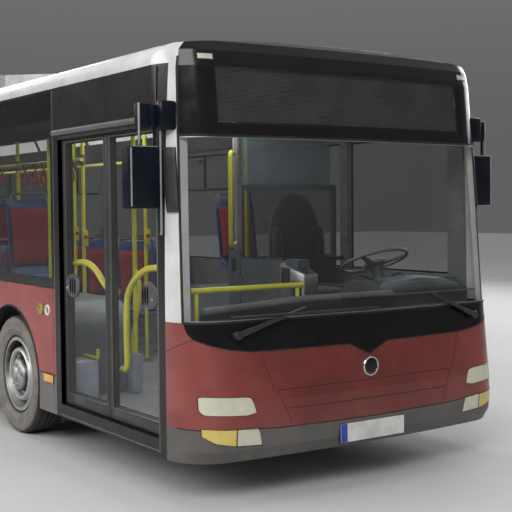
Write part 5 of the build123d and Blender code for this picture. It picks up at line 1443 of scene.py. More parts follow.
# Side glazing: black borders, opening top lights and seals
RIGHT_X = [(4.0, 2.6), (2.52, 1.12), (-0.66, -2.06), (-2.14, -3.54), (-3.62, -5.02)]
LEFT_X = [(5.43, 4.29), (4.2, 2.8), (2.72, 1.32), (1.24, -0.16), (-0.24, -1.64), (-1.72, -3.12), (-3.2, -4.6)]
borders, bars, seals = bmesh.new(), bmesh.new(), bmesh.new()
for side, spans in ((-1, RIGHT_X), (1, LEFT_X)):
    skin = wall_skin(side)
    for index, (x1, x0) in enumerate(spans):
        y = side * 1.2452
        for low, high in (((x0 - 0.03, 1.173), (x0 + 0.014, 2.271)), ((x1 - 0.014, 1.173), (x1 + 0.03, 2.271)),
                ((x0 + 0.014, 1.173), (x1 - 0.014, 1.24)), ((x0 + 0.014, 2.226), (x1 - 0.014, 2.271))):
            box_in(borders, (low[0], min(y, y + side * 0.0012), low[1]), (high[0], max(y, y + side * 0.0012), high[1]))
        for x in (x0 - 0.034, x1 + 0.034):
            strip_in(seals, skin, [(x, 1.168), (x, 2.276)], 0.009, (-0.006, -0.0006))
        if index % 2 == 0 and index:
            z = 1.905
            box_in(bars, (x0 + 0.012, side * 1.246 - 0.01, z - 0.013),
                (x1 - 0.012, side * 1.246 + 0.0032, z + 0.013), 0.003)
            middle = (x0 + x1) / 2
            for x in (middle - 0.012, middle + 0.012):
                box_in(bars, (x - 0.008, side * 1.246 - 0.008, z), (x + 0.008, side * 1.246 + 0.0032, 2.228), 0.002)
            box_in(bars, (middle - 0.1, side * 1.236 - 0.012, 2.17), (middle - 0.04, side * 1.236 + 0.004, 2.2), 0.004)
piece("window_borders", borders, "black")
piece("window_opening_bars", bars, "satin_black")
piece("window_seals", seals, "rubber_trim")

# Screen surround: seals round the windscreen and the dome
SCREEN_FOOT = 1.066
SCREEN_TOP = 2.14
DOME_TOP = 2.6
EDGE_STATION = 0.251
EDGE_LEAN = 0.0632


def edge_reach(z, reach, step):
    """Arc length from the centre line to the screen's side edge at a height, sought in steps from reach."""
    station = EDGE_STATION + (z - SCREEN_FOOT) * EDGE_LEAN
    while nose(reach, z).x > NOSE_X - station and reach < 2.0:
        reach += step
    return reach


seals, inlays = bmesh.new(), bmesh.new()
for z, inlay_z in ((SCREEN_FOOT, 1.0745), (SCREEN_TOP, 2.1315)):
    reach = edge_reach(z, 0.0, 0.002)
    strip_in(seals, nose, dense([(-reach, z), (reach, z)], 0.04), 0.016, (-0.004, 0.0022))
    strip_in(inlays, nose, dense([(-reach + 0.01, inlay_z), (reach - 0.01, inlay_z)], 0.04), 0.004, (-0.001, 0.003))
for side in (-1, 1):
    path = [(side * edge_reach(z, 0.9, 0.001), z) for z in spread(SCREEN_FOOT, DOME_TOP, 24)]
    strip_in(seals, nose, path, 0.014, (-0.004, 0.0018))
piece("screen_seals", seals, "rubber_trim", angle=0.3)
piece("screen_seal_inlays", inlays, "alu", angle=0.3)

# Destination box behind its pane, with slats and nothing written on it
bm = bmesh.new()
SLATS = 40
for k in range(SLATS):
    z = 2.232 + 0.302 * k / (SLATS - 1)
    strip_in(bm, nose, dense([(nose_s(-0.962), z), (nose_s(0.962), z)], 0.08), 0.0036, (-0.03, -0.024))
piece("display_slats", bm, "slat", angle=0.3)
bm = bmesh.new()
patch_in(bm, nose, [nose_s(y) for y in spread(-0.97, 0.97, 40)], lambda u: (2.226, 2.54), 4, (-0.04, -0.034))
piece("display_back", bm, "display_grey", angle=0.3)
bm = bmesh.new()
for k in range(18):
    z = 2.36 + 0.17 * k / 17
    box_in(bm, (NOSE_X - 3.035, -1.2385, z - 0.0018), (NOSE_X - 1.99, -1.2355, z + 0.0018))
piece("side_display_slats", bm, "slat")
box_piece("side_display_back", "display_grey",
    ((NOSE_X - 3.035, -1.2345, 2.357), (NOSE_X - 1.985, -1.2325, 2.533), 0.0))

# Saloon: seats with their cushions, grips and legs

SEAT_ROWS = ((-1, 1, 3.43, 0.76), (1, 1, 3.43, 0.76), (-1, 2, 2.29, 0.34), (-1, 2, 1.59, 0.34), (1, 2, 2.29, 0.34),
    (1, 2, 1.57, 0.34), (1, 2, 0.85, 0.34), (1, 2, 0.13, 0.34), (-1, 2, -1.41, 0.76), (1, 2, -1.41, 0.76),
    (-1, 2, -2.24, 0.76), (1, 2, -2.24, 0.76), (-1, 2, -3.41, 0.76), (1, 2, -3.41, 0.76), (-1, 2, -4.13, 0.76),
    (1, 2, -4.13, 0.76))
ON_WHEEL_BOX = {3.43: 1.035, -2.24: 1.025}
SEATS = []
for side, count, x, base in SEAT_ROWS:
    for offset in (0.215, 0.64)[:count]:
        SEATS.append((x, side * (WALL_INNER_Y - offset), base + 0.44))
for k in range(5):
    SEATS.append((-4.97, (k - 2) * 0.436, 1.05))

SHELL_LINE = ((0.0, -0.046), (0.012, -0.026), (0.04, -0.016), (0.12, -0.018), (0.24, -0.024), (0.34, -0.02),
    (0.392, 0.004), (0.42, 0.05), (0.436, 0.13), (0.452, 0.24), (0.47, 0.36), (0.487, 0.47), (0.498, 0.545),
    (0.508, 0.588), (0.524, 0.6))


def shell_in(bm, x, y, z):
    """Moulded seat shell with curled sides."""
    columns = 11
    line = [Vector((d, h)) for d, h in SHELL_LINE]
    normals = []
    for i, point in enumerate(line):
        ahead = (line[min(i + 1, len(line) - 1)] - line[max(i - 1, 0)]).normalized()
        normals.append(Vector((-ahead.y, ahead.x)))
    rows = []
    for i, point in enumerate(line):
        top, under = [], []
        for c in range(columns):
            share = 2 * c / (columns - 1) - 1
            curl = 0.026 * abs(share) ** 5
            narrow = 1.0 - 0.1 * max(0.0, (i - 11) / 3) ** 2
            across = y + share * 0.2 * narrow
            for face, gap in ((top, curl), (under, curl - 0.012)):
                offset = point + normals[i] * gap
                face.append(Vector((x - offset.x, across, z + offset.y)))
        rows.append(top + under[::-1])
    rows_in(bm, rows)


def pad_in(bm, corner, across, up, out, thickness, channels=(), count=12, pinch=0.06):
    """Crowned cushion: corner plus two edge directions, its face swelling along out."""
    corner, across, up, out = Vector(corner), Vector(across), Vector(up), Vector(out).normalized()
    grid = {}
    for i in range(count + 1):
        for j in range(count + 1):
            u, v = 2 * i / count - 1, 2 * j / count - 1
            su = math.copysign(abs(u) ** 0.8, u)
            sv = math.copysign(abs(v) ** 0.8, v)
            pull_u = 1.0 - pinch * (1 - sv * sv) * 0.5
            pull_v = 1.0 - pinch * (1 - su * su) * 0.5
            r = (1 - abs(su) ** 5) * (1 - abs(sv) ** 5)
            swell = thickness * (0.18 + 0.82 * r ** 0.45)
            for line in channels:
                gap = abs(v - line) / 0.1
                swell -= thickness * 0.24 * math.exp(-gap * gap)
            base = corner + across * (0.5 + 0.5 * su * pull_u) + up * (0.5 + 0.5 * sv * pull_v)
            edge = abs(u) > 0.999 or abs(v) > 0.999
            grid[i, j, 1] = bm.verts.new(base + out * (swell if not edge else thickness * 0.3))
            grid[i, j, 0] = grid[i, j, 1] if edge else bm.verts.new(base)
    for i in range(count):
        for j in range(count):
            for level in (0, 1):
                face = [grid[i, j, level], grid[i + 1, j, level], grid[i + 1, j + 1, level], grid[i, j + 1, level]]
                if len(set(face)) == 4:
                    try:
                        bm.faces.new(face if level else face[::-1])
                    except ValueError:
                        pass


shells, pans, backs, grips, legs = [bmesh.new() for _ in range(5)]
for x, y, z in SEATS:
    shell_in(shells, x, y, z)
    pad_in(pans, (x - 0.03, y - 0.18, z - 0.014), (0, 0.36, 0), (-0.33, 0, -0.006), (0, 0, 1), 0.036, (-0.35, 0.35))
    pad_in(backs, (x - 0.41, y - 0.175, z + 0.085), (0, 0.35, 0), (-0.07, 0, 0.455), (1, 0, 0.15), 0.034, (-0.3, 0.3))
    tube_in(grips, rounded_path([(x - 0.5, y - 0.15, z + 0.57), (x - 0.52, y - 0.15, z + 0.65),
        (x - 0.52, y + 0.15, z + 0.65), (x - 0.5, y + 0.15, z + 0.57)], 0.05), 0.012, 10)
for side, count, x, base in SEAT_ROWS:
    y0, y1 = sorted((side * 1.185, side * (1.185 - 0.39 * count)))
    box_in(legs, (x - 0.3, y0, base + 0.365), (x - 0.14, y1, base + 0.4), 0.008)
    foot = ON_WHEEL_BOX.get(x, base)
    if foot < base + 0.3:
        middle = side * (0.745 if count == 2 else 0.975)
        rows = []
        for z, half, deep in ((foot, 0.075, 0.1), (foot + 0.012, 0.075, 0.1), (foot + 0.03, 0.032, 0.045),
                (base + 0.33, 0.028, 0.04), (base + 0.37, 0.06, 0.07)):
            rows.append([Vector((x - 0.22 + sx * deep, middle + sy * half, z))
                for sx, sy in ((-1, -1), (1, -1), (1, 1), (-1, 1))])
        rows_in(legs, rows)
seat_piece = piece("seat_shells", shells, "seat_shell", angle=0.7)
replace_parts(seat_piece, "passenger_seats")
for name, bm, cloth in (("seat_cushions", pans, "cloth_blue"), ("back_cushions", backs, "cloth_red")):
    cushion = piece(name, bm, cloth, angle=1.2)
piece("seat_grips", grips, "satin_grey", angle=0.8)
piece("seat_legs", legs, "satin_grey", angle=0.5)

# Overhead straps: webbing loops with moulded handles
webbing, handles = bmesh.new(), bmesh.new()
RAIL_Y = 0.3393
STRAP_X = (2.35, 2.15, 1.95, 1.75, 1.55, 1.3, 0.7, 0.4, 0.1, -0.2, -0.5, -1.7, -2.3, -3.0, -3.7, -4.2)
STRAPS = [(x, side * RAIL_Y) for side in (-1, 1) for x in STRAP_X if side < 0 or x < 0.4]
for x, y in STRAPS:
    for k in (-1, 1):
        rows = []
        for z, off in ((2.17, 0.002), (2.15, 0.0185), (2.12, 0.015), (2.075, 0.003)):
            near, far = off * k, (off + 0.0022) * k
            rows.append([Vector((x - 0.0125, y + near, z)), Vector((x + 0.0125, y + near, z)),
                Vector((x + 0.0125, y + far, z)), Vector((x - 0.0125, y + far, z))])
        rows_in(webbing, rows)
    loop = rounded_path([(x, y, 2.085), (x - 0.052, y, 2.055), (x - 0.06, y, 1.975), (x + 0.06, y, 1.975),
        (x + 0.052, y, 2.055), (x, y, 2.085)], 0.03, 4)
    tube_in(handles, loop, 0.0085, 8)
piece("strap_webbing", webbing, "webbing", angle=0.5)
piece("strap_handles", handles, "handle_red", angle=0.9)

# Stop buttons and pole sockets
buttons, cases, sockets = bmesh.new(), bmesh.new(), bmesh.new()
POLES = [(-1, 2.51, 0.34), (-1, 1.03, 0.34), (-1, -1.31, 0.76), (-1, -3.31, 0.76), (-1, -4.71, 0.76), (1, 2.51, 0.34),
    (1, 1.01, 0.34), (1, -0.51, 0.34), (1, -1.31, 0.76), (1, -3.31, 0.76), (1, -4.71, 0.76)]
for side, x, base in POLES:
    y = side * 0.305
    lathe_in(sockets, [(0.0, 0.018), (0.0, 0.045), (0.006, 0.045), (0.012, 0.03), (0.03, 0.022), (0.03, 0.018)],
        (x, y, base), "Z", 24)
    lathe_in(sockets, [(-0.045, 0.018), (-0.045, 0.024), (0.045, 0.024), (0.045, 0.018)], (x, y, 2.15), "Z", 20)
    box_in(cases, (x + 0.015, y - 0.026, base + 1.06), (x + 0.042, y + 0.026, base + 1.2), 0.008)
    lathe_in(buttons, [(0.0, 0.0), (0.0, 0.018), (0.006, 0.017), (0.009, 0.0)], (x + 0.041, y, base + 1.14), "X", 24)
piece("pole_sockets", sockets, "satin_grey")
piece("stop_boxes", cases, "yellow_mat")
piece("stop_buttons", buttons, "handle_red")

# Ceiling: cove panels, centre duct and light strips
COVE_SECTION = ((1.186, 2.278), (1.12, 2.29), (0.985, 2.42), (0.915, 2.56), (0.915, 2.572), (0.96, 2.59),
    (1.186, 2.555))
LIGHT_SECTION = ((0.914, 2.5665), (0.97, 2.448), (0.964, 2.444), (0.907, 2.562))
JOINT_SECTION = ((1.1215, 2.2885), (0.9845, 2.4205), (0.9815, 2.418), (1.1185, 2.285))
cove, lights, lines = bmesh.new(), bmesh.new(), bmesh.new()
for side in (-1, 1):
    spans = ((-5.55, -0.66), (1.12, 3.9)) if side < 0 else ((-5.55, 4.05),)
    for x0, x1 in spans:
        bar_in(cove, COVE_SECTION, (x0, x1), side)
        count = max(1, round((x1 - x0) / 1.4))
        for k in range(count):
            a = x0 + (x1 - x0) * k / count
            b = x0 + (x1 - x0) * (k + 1) / count
            bar_in(lights, LIGHT_SECTION, (a + 0.05, b - 0.05), side)
            bar_in(lines, JOINT_SECTION, (a - 0.002, a + 0.002), side)
bar_in(cove, ((-0.42, 2.684), (-0.4, 2.655), (0.4, 2.655), (0.42, 2.684)), (4.9, 4.88, -5.4))
piece("ceiling_panels", cove, "panel_pale", angle=0.5)
piece("ceiling_lights", lights, "diffuser", angle=0.5)
piece("ceiling_joints", lines, "satin_grey", angle=0.5)

# Stairs' yellow nosings
bm = bmesh.new()
for x, z in ((-0.65, 0.48), (-0.95, 0.62), (-1.25, 0.76)):
    box_in(bm, (x - 0.036, -0.326, z - 0.002), (x + 0.0025, 0.326, z + 0.0025), 0.001, 1)
piece("stair_nosings", bm, "yellow_mat")

# Driver's place: seat, armrests, bellows, steering wheel and column


def bolster_in(bm, centre, half, power=3.2, steps=(24, 12), taper=0.0, tilt=0.0):
    """Rounded cushion body (superellipsoid) with optional narrowing towards the top."""
    def eased(value):
        return math.copysign(abs(value) ** (2 / power), value)

    centre = Vector(centre)
    rows = []
    for i in range(1, steps[1]):
        lat = -math.pi / 2 + math.pi * i / steps[1]
        row = []
        for j in range(steps[0]):
            lon = 2 * math.pi * j / steps[0]
            x = half[0] * eased(math.cos(lat)) * eased(math.cos(lon))
            y = half[1] * eased(math.cos(lat)) * eased(math.sin(lon))
            z = half[2] * eased(math.sin(lat))
            narrow = 1.0 - taper * (z / half[2] + 1) / 2
            row.append(centre + Vector((x - tilt * z, y * narrow, z)))
        rows.append(row)
    rows_in(bm, rows)


seat_x, seat_y = 4.425, 0.69
bm = bmesh.new()
bolster_in(bm, (seat_x, seat_y, 1.055), (0.235, 0.245, 0.052), 4.0)
driver_pan = piece("driver_seat_cushion", bm, "cover", angle=1.3)
bm = bmesh.new()
bolster_in(bm, (4.258, seat_y, 1.44), (0.062, 0.272, 0.4), 2.5, (32, 22), 0.16, 0.06)
driver_back = piece("driver_seat_back", bm, "cover", angle=1.3)
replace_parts(driver_back, "driver_seat")
bm = bmesh.new()
for side in (-1, 1):
    bolster_in(bm, (4.3, seat_y + side * 0.205, 1.36), (0.045, 0.038, 0.22), 2.6, (18, 12))
    bolster_in(bm, (4.44, seat_y + side * 0.215, 1.095), (0.19, 0.03, 0.028), 2.6, (18, 10))
side_pads = piece("driver_seat_bolsters", bm, "cover", angle=1.3)
bm = bmesh.new()
for side in (-1, 1):
    arm = rounded_path([(4.235, seat_y + side * 0.262, 1.3), (4.26, seat_y + side * 0.272, 1.315),
        (4.5, seat_y + side * 0.275, 1.325)], 0.05)
    tube_in(bm, arm, 0.024, 12, 0.8)
piece("driver_armrests", bm, "satin_black", angle=0.9)
bm = bmesh.new()
rows = []
for z, half_x, half_y in ((0.592, 0.17, 0.16), (0.62, 0.17, 0.16), (0.64, 0.12, 0.12), (0.7, 0.11, 0.11),
        (0.72, 0.125, 0.13), (0.76, 0.11, 0.11), (0.78, 0.125, 0.13), (0.82, 0.11, 0.11), (0.84, 0.125, 0.13),
        (0.88, 0.12, 0.13), (0.95, 0.19, 0.2), (1.0, 0.2, 0.21)):
    rows.append([Vector((seat_x - 0.02 + half_x * math.cos(k * math.pi / 12),
        seat_y + half_y * math.sin(k * math.pi / 12), z)) for k in range(24)])
rows_in(bm, rows)
piece("driver_seat_bellows", bm, "rubber_trim", angle=0.5)

wheel_centre = Vector((5.255, 0.645, 1.338))
tilt = Matrix.Translation(wheel_centre) @ Matrix.Rotation(math.radians(-22), 4, "Y")
bm = bmesh.new()
ring = []
for k in range(60):
    turn = 2 * math.pi * k / 60
    out = Vector((math.cos(turn), math.sin(turn), 0))
    ring.append([out * (0.236 + 0.0145 * math.cos(a)) + Vector((0, 0, 0.0125 * math.sin(a)))
        for a in [2 * math.pi * i / 12 for i in range(12)]])
rows_in(bm, ring + [ring[0]], caps=False)
for turn in (90, 210, 330):
    a = math.radians(turn + 90)
    out, side_way = Vector((math.cos(a), math.sin(a), 0)), Vector((-math.sin(a), math.cos(a), 0))
    rows = []
    for k in range(7):
        t = k / 6
        at = out * (0.055 + 0.178 * t) + Vector((0, 0, -0.03 + 0.03 * t))
        w = 0.03 - 0.014 * t
        rows.append([at + side_way * w - Vector((0, 0, 0.006)), at + side_way * w + Vector((0, 0, 0.006)),
            at - side_way * w + Vector((0, 0, 0.006)), at - side_way * w - Vector((0, 0, 0.006))])
    rows_in(bm, rows)
lathe_in(bm, [(-0.05, 0.0), (-0.05, 0.05), (-0.03, 0.078), (-0.012, 0.08), (0.0, 0.066), (0.006, 0.0)],
    (0, 0, 0), "Z", 36)
bmesh.ops.transform(bm, matrix=tilt, verts=bm.verts)
steer = piece("steering_wheel_rim", bm, "satin_grey", angle=0.7)
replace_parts(steer, "steering_wheel")
bm = bmesh.new()
column = [(5.43, 0.645, 0.95), (5.37, 0.645, 1.1), (5.3, 0.645, 1.24), (5.27, 0.645, 1.3)]
tube_in(bm, column, 0.042, 16)
for side in (-1, 1):
    tube_in(bm, [(5.32, 0.645 + side * 0.03, 1.2), (5.31, 0.645 + side * 0.13, 1.235),
        (5.305, 0.645 + side * 0.2, 1.25)], 0.008, 8)
piece("steering_column", bm, "dash", angle=0.8)

# Binnacle hood, dials and switches
bm = bmesh.new()
rows = []
for k in range(25):
    t = k / 24
    y = 0.315 + 0.8 * t
    swell = math.sin(math.pi * t) ** 0.55
    ridge = 1.165 + 0.078 * swell
    rows.append([Vector((5.668, y, 1.05)), Vector((5.672, y, ridge - 0.035)), Vector((5.65, y, ridge - 0.008)),
        Vector((5.6, y, ridge)), Vector((5.52, y, ridge + 0.004)), Vector((5.45, y, ridge - 0.004)),
        Vector((5.405, y, ridge - 0.022)), Vector((5.4, y, ridge - 0.034)), Vector((5.44, y, 1.1)),
        Vector((5.44, y, 1.05))])
rows_in(bm, rows)
piece("binnacle_hood", bm, "dash_pale")
dials, needles = bmesh.new(), bmesh.new()
for y in (0.575, 0.715):
    made = lathe_in(dials, [(0.0, 0.0), (0.0, 0.052), (0.005, 0.052), (0.007, 0.047), (0.002, 0.045), (0.002, 0.0)],
        (0, 0, 0), "X", 40)
    matrix = Matrix.Translation((5.434, y, 1.155)) @ Matrix.Rotation(math.radians(180 - 12), 4, "Y")
    bmesh.ops.transform(dials, matrix=matrix, verts=made)
for y in (0.4, 0.45, 0.5, 0.8, 0.85, 0.9, 0.95):
    box_in(needles, (5.425, y - 0.018, 1.115), (5.442, y + 0.018, 1.15), 0.004)
piece("dials", dials, "dial", angle=0.5)
piece("dash_switches", needles, "satin_black", angle=0.5)

# Dash shelf: front roll and demister vents
bm = bmesh.new()
tube_in(bm, [(5.745, y, 1.047) for y in spread(-1.05, 1.05, 30)], 0.026, 14, 0.8)
piece("dash_roll", bm, "dash", angle=0.9)
bm = bmesh.new()
for k in range(14):
    y = -1.0 + k * 0.145
    for m in range(3):
        box_in(bm, (5.69 - m * 0.016, y - 0.058, 1.039), (5.698 - m * 0.016, y + 0.058, 1.045), 0.0015, 1)
piece("demist_vents", bm, "satin_black", angle=0.5)

# Cab: ticket box, post, screen, roll along the windscreen's foot, handle and card reader
bm = bmesh.new()
made = box_in(bm, (4.93, 0.052, 1.08), (5.215, 0.18, 1.335), 0.016)
for vertex in made:
    vertex.co.z -= max(0.0, vertex.co.x - 5.05) * 0.45 * (vertex.co.z > 1.2)
piece("ticket_box", bm, "alu")
bm = bmesh.new()
box_in(bm, (4.96, 0.043, 1.19), (5.05, 0.056, 1.305), 0.004)
box_in(bm, (5.08, 0.043, 1.11), (5.185, 0.056, 1.215), 0.004)
made = box_in(bm, (5.065, 0.07, 1.333), (5.2, 0.165, 1.338), 0.002)
for vertex in made:
    vertex.co.z -= (vertex.co.x - 5.05) * 0.45
piece("ticket_box_face", bm, "satin_black")
box_piece("cab_post", "alu", ((4.178, 0.16, 0.62), (4.224, 0.212, 2.46), 0.006))
box_piece("cab_screen", "screen_blue", ((4.08, 0.3, 1.88), (4.086, 1.18, 2.42), 0.002))
# The roll wears satin grey, lighter than the black dash under it: a painted highlight along the windscreen's foot.
bm = bmesh.new()
roll = [(5.705, y, 1.112 + 0.036 * min(1.0, (y + 1.06) / 0.72)) for y in spread(-1.06, 0.4, 20)]
tube_in(bm, roll, 0.03, 16, 0.85)
piece("screen_roll", bm, "satin_grey", angle=0.8)
bm = bmesh.new()
rows_in(bm, [[Vector((x + dx, y, z + dz)) for dx, dz in ((0.03, -0.01), (0.03, -0.075), (-0.03, -0.075),
    (-0.03, -0.01))] for x, y, z in roll])
piece("screen_roll_base", bm, "plastic")
bm = bmesh.new()
grip = rounded_path([(4.205, 0.165, 2.13), (4.275, 0.075, 2.15), (4.275, 0.075, 1.43), (4.205, 0.165, 1.45)], 0.06, 6)
tube_in(bm, grip, 0.018, 14)
piece("cab_handle", bm, "yellow", angle=0.8)
box_piece("card_reader", "satin_black", ((4.16, 0.145, 1.235), (4.225, 0.215, 1.345), 0.008))

# Step box behind the front door with its yellow rail, and the pedestal at the pole's foot
# The boxes wear a blue grey lightened as painted light for their shaded place.
box_piece("step_boxes", "box_blue", ((3.8, -1.17, FLOOR_TOP), (4.06, -0.93, 0.635), 0.012),
    ((3.87, -0.605, FLOOR_TOP), (3.96, -0.515, 0.64), 0.02))
bm = bmesh.new()
tube_in(bm, rounded_path([(3.8, -0.935, 0.648), (4.055, -0.935, 0.648), (4.055, -0.935, 0.715)], 0.02), 0.014, 12)
tube_in(bm, [(3.715, -1.135, 1.03), (3.715, -1.135, 1.6), (3.715, -1.135, 2.29)], 0.017, 14)
tube_in(bm, smooth_path([(3.885, -0.56, 0.635), (3.89, -0.56, 0.76), (3.94, -0.56, 0.9), (3.99, -0.56, 1.02),
    (4.0, -0.56, 1.14), (3.96, -0.56, 1.24), (3.935, -0.56, 1.26)]), 0.016, 12)
piece("entrance_rails", bm, "yellow", angle=0.8)

# Mirrors and the pillar covers


def outer_mirror(side, name):
    """Mirror housing with its glass, bracket block and rods; pale edge trims and a pale rod paint the highlights along
    its edges.
    """
    def block_in(bm, x_range, y_range, z_range, bevel):
        y0, y1 = sorted(side * y for y in y_range)
        box_in(bm, (x_range[0], y0, z_range[0]), (x_range[1], y1, z_range[1]), bevel)

    bm = bmesh.new()
    rows = []
    for x, near, far, drop in ((5.5265, 1.27, 1.474, 0.004), (5.53, 1.266, 1.479, 0.0), (5.56, 1.266, 1.479, 0.0),
            (5.59, 1.272, 1.464, 0.002), (5.598, 1.276, 1.456, 0.005), (5.601, 1.284, 1.447, 0.012)):
        low, high, r = 1.723 + drop, 2.0815 - drop, 0.012
        row = []
        for y, z, a0 in ((far - r, high - r, 0), (near + r, high - r, 90), (near + r, low + r, 180),
                (far - r, low + r, 270)):
            row += [Vector((x, side * (y + r * math.cos(math.radians(a0 + 30 * m))),
                z + r * math.sin(math.radians(a0 + 30 * m)))) for m in range(4)]
        rows.append(row)
    rows_in(bm, rows)
    shell = piece(f"mirror_shell_{name}", bm, "navy", angle=0.5)
    bm = bmesh.new()
    block_in(bm, (5.524, 5.529), (1.28, 1.464), (1.737, 2.067), 0.0015)
    piece(f"mirror_glass_{name}", bm, "mirror")
    bm = bmesh.new()
    block_in(bm, (5.535, 5.6), (1.25, 1.33), (2.188, 2.318), 0.008)
    block_in(bm, (5.535, 5.596), (1.322, 1.4), (2.184, 2.324), 0.008)
    block_in(bm, (5.6, 5.665), (1.19, 1.292), (2.172, 2.34), 0.014)
    for y in (1.388, 1.29):
        tube_in(bm, [(5.575, side * y, 2.07), (5.575, side * y, 2.13), (5.575, side * y, 2.2)], 0.0095, 12)
    piece(f"mirror_bracket_{name}", bm, "navy", angle=0.5)
    # Pale strips and a pale rod along the housing's and bracket's edges: painted highlights, the rod also standing for
    # a real rod.
    bm = bmesh.new()
    block_in(bm, (5.59, 5.603), (1.45, 1.458), (1.735, 2.07), 0.002)
    block_in(bm, (5.585, 5.6), (1.395, 1.403), (2.085, 2.325), 0.002)
    tube_in(bm, [(5.606, side * 1.268, 1.57), (5.606, side * 1.268, 1.9), (5.606, side * 1.268, 2.19)], 0.006, 10)
    tube_in(bm, [(5.606, side * 1.268, 1.585), (5.585, side * 1.262, 1.578), (5.56, side * 1.248, 1.572)], 0.005, 8)
    block_in(bm, (5.597, 5.603), (1.284, 1.448), (2.076, 2.081), 0.001)
    piece(f"mirror_highlight_trims_{name}", bm, "panel_pale", angle=0.5)
    return shell


shell = outer_mirror(-1, "right")
outer_mirror(1, "left")
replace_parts(shell, "mirrors")

bm = bmesh.new()
for side in (-1, 1):
    rows = []
    for k in range(13):
        z = 1.7 + 0.375 * k / 12
        squeeze = 1.0 if 0 < k < 12 else 0.6
        row = []
        for m in range(9):
            a = math.pi * m / 8
            row.append(nose(side * (1.284 + 0.044 * math.cos(a)), z, 0.024 * math.sin(a) ** 0.5 * squeeze - 0.002))
        rows.append(row)
    rows_in(bm, rows)
piece("pillar_covers", bm, "satin_black", angle=0.7)

# Pale lens patches framed like small marker lamps on the dome's top corners: a painted highlight
lens, rim = bmesh.new(), bmesh.new()
for side in (-1, 1):
    s = side * nose_s(1.03)
    at = nose(s, 2.6, 0.0)
    ahead = (nose(s, 2.6, 0.1) - at).normalized()
    patch_in(lens, nose, spread(s - 0.045, s + 0.045, 6), lambda u: (2.585, 2.615), 3, (-0.002, 0.006))
    strip_in(rim, nose, [(s - 0.048, 2.582), (s + 0.048, 2.582), (s + 0.048, 2.618), (s - 0.048, 2.618)], 0.006,
        (-0.002, 0.004), closed=True)
piece("dome_highlight_lenses", lens, "cream_lens")
piece("dome_highlight_frames", rim, "satin_black")

# Roof: seams, gutters, hatches and the unit's grilles and fans


ROOF_TOP = 2.74
ROOF_RADIUS = 11.5


def roof_z(y, lift=0.0):
    return ROOF_TOP - ROOF_RADIUS + math.sqrt(ROOF_RADIUS ** 2 - y * y) + lift


bm = bmesh.new()
for x in (4.6, 3.75, 2.0, 0.2, -1.2, -2.6, -4.2, -5.2):
    reach = 1.1
    rows = []
    for k in range(23):
        y = -reach + 2 * reach * k / 22
        rows.append([Vector((x - 0.004, y, roof_z(y, -0.003))), Vector((x - 0.004, y, roof_z(y, 0.0015))),
            Vector((x + 0.004, y, roof_z(y, 0.0015))), Vector((x + 0.004, y, roof_z(y, -0.003)))])
    rows_in(bm, rows)
for side in (-1, 1):
    rows = []
    for x in (5.35, 4.0, 2.0, 0.0, -2.0, -4.0, -5.6):
        section = ((1.128, 0.004), (1.122, 0.012), (1.112, 0.012), (1.106, 0.0), (1.106, -0.004), (1.128, -0.006))
        rows.append([Vector((x, side * y, roof_z(y, lift))) for y, lift in section])
    rows_in(bm, rows)
piece("roof_gutters", bm, "white", angle=0.5)

bm, dark = bmesh.new(), bmesh.new()
for x in (4.44, -3.31):
    for a, b in (((x - 0.3, -0.27), (x - 0.292, 0.27)), ((x + 0.292, -0.27), (x + 0.3, 0.27)),
            ((x - 0.292, -0.27), (x + 0.292, -0.262)), ((x - 0.292, 0.262), (x + 0.292, 0.27))):
        box_in(dark, (a[0], a[1], 2.772), (b[0], b[1], 2.7755), 0.001, 1)
    for y in (-0.12, 0.0, 0.12):
        box_in(bm, (x - 0.24, y - 0.02, 2.773), (x + 0.24, y + 0.02, 2.7815), 0.003)
piece("hatch_ribs", bm, "unit")
piece("hatch_seals", dark, "rubber_trim")

fans, blades, grilles = bmesh.new(), bmesh.new(), bmesh.new()
UNIT_TOP = 2.9
for x in (1.45, 0.75, 0.05):
    for y in (-0.42, 0.42):
        for radius in (0.19, 0.16, 0.13, 0.1, 0.07):
            section = ((0.0035, radius - 0.002), (0.0035, radius + 0.002), (0.0085, radius + 0.002),
                (0.0085, radius - 0.002))
            lathe_in(fans, section, (x, y, UNIT_TOP), "Z", 36)
        lathe_in(fans, [(-0.046, 0.0), (-0.046, 0.05), (-0.016, 0.046), (-0.01, 0.036), (-0.01, 0.0)], (x, y, UNIT_TOP),
            "Z", 32)
        for k in range(7):
            turn = 2 * math.pi * k / 7
            out, across = Vector((math.cos(turn), math.sin(turn), 0)), Vector((-math.sin(turn), math.cos(turn), 0))
            rows = []
            for radius in (0.04, 0.12, 0.192):
                middle = Vector((x, y, UNIT_TOP - 0.028)) + out * radius
                reach = across * (0.02 + radius * 0.16)
                pitch = Vector((0, 0, 0.014))
                thick = Vector((0, 0, 0.0015))
                rows.append([middle - reach - pitch - thick, middle + reach + pitch - thick,
                    middle + reach + pitch + thick, middle - reach - pitch + thick])
            rows_in(blades, rows)
piece("unit_fans", fans, "satin_black", angle=0.5)
piece("unit_fan_blades", blades, "satin_grey")
for side in (-1, 1):
    for x0, length in ((1.7, 0.55), (0.9, 0.55), (0.1, 0.55), (-0.45, 0.4)):
        for k in range(7):
            z = 2.785 + k * 0.014
            box_in(grilles, (x0, side * 0.89 - 0.002, z), (x0 + length, side * 0.89 + 0.0045, z + 0.006), 0.0015, 1)
piece("unit_side_vents", grilles, "satin_black")

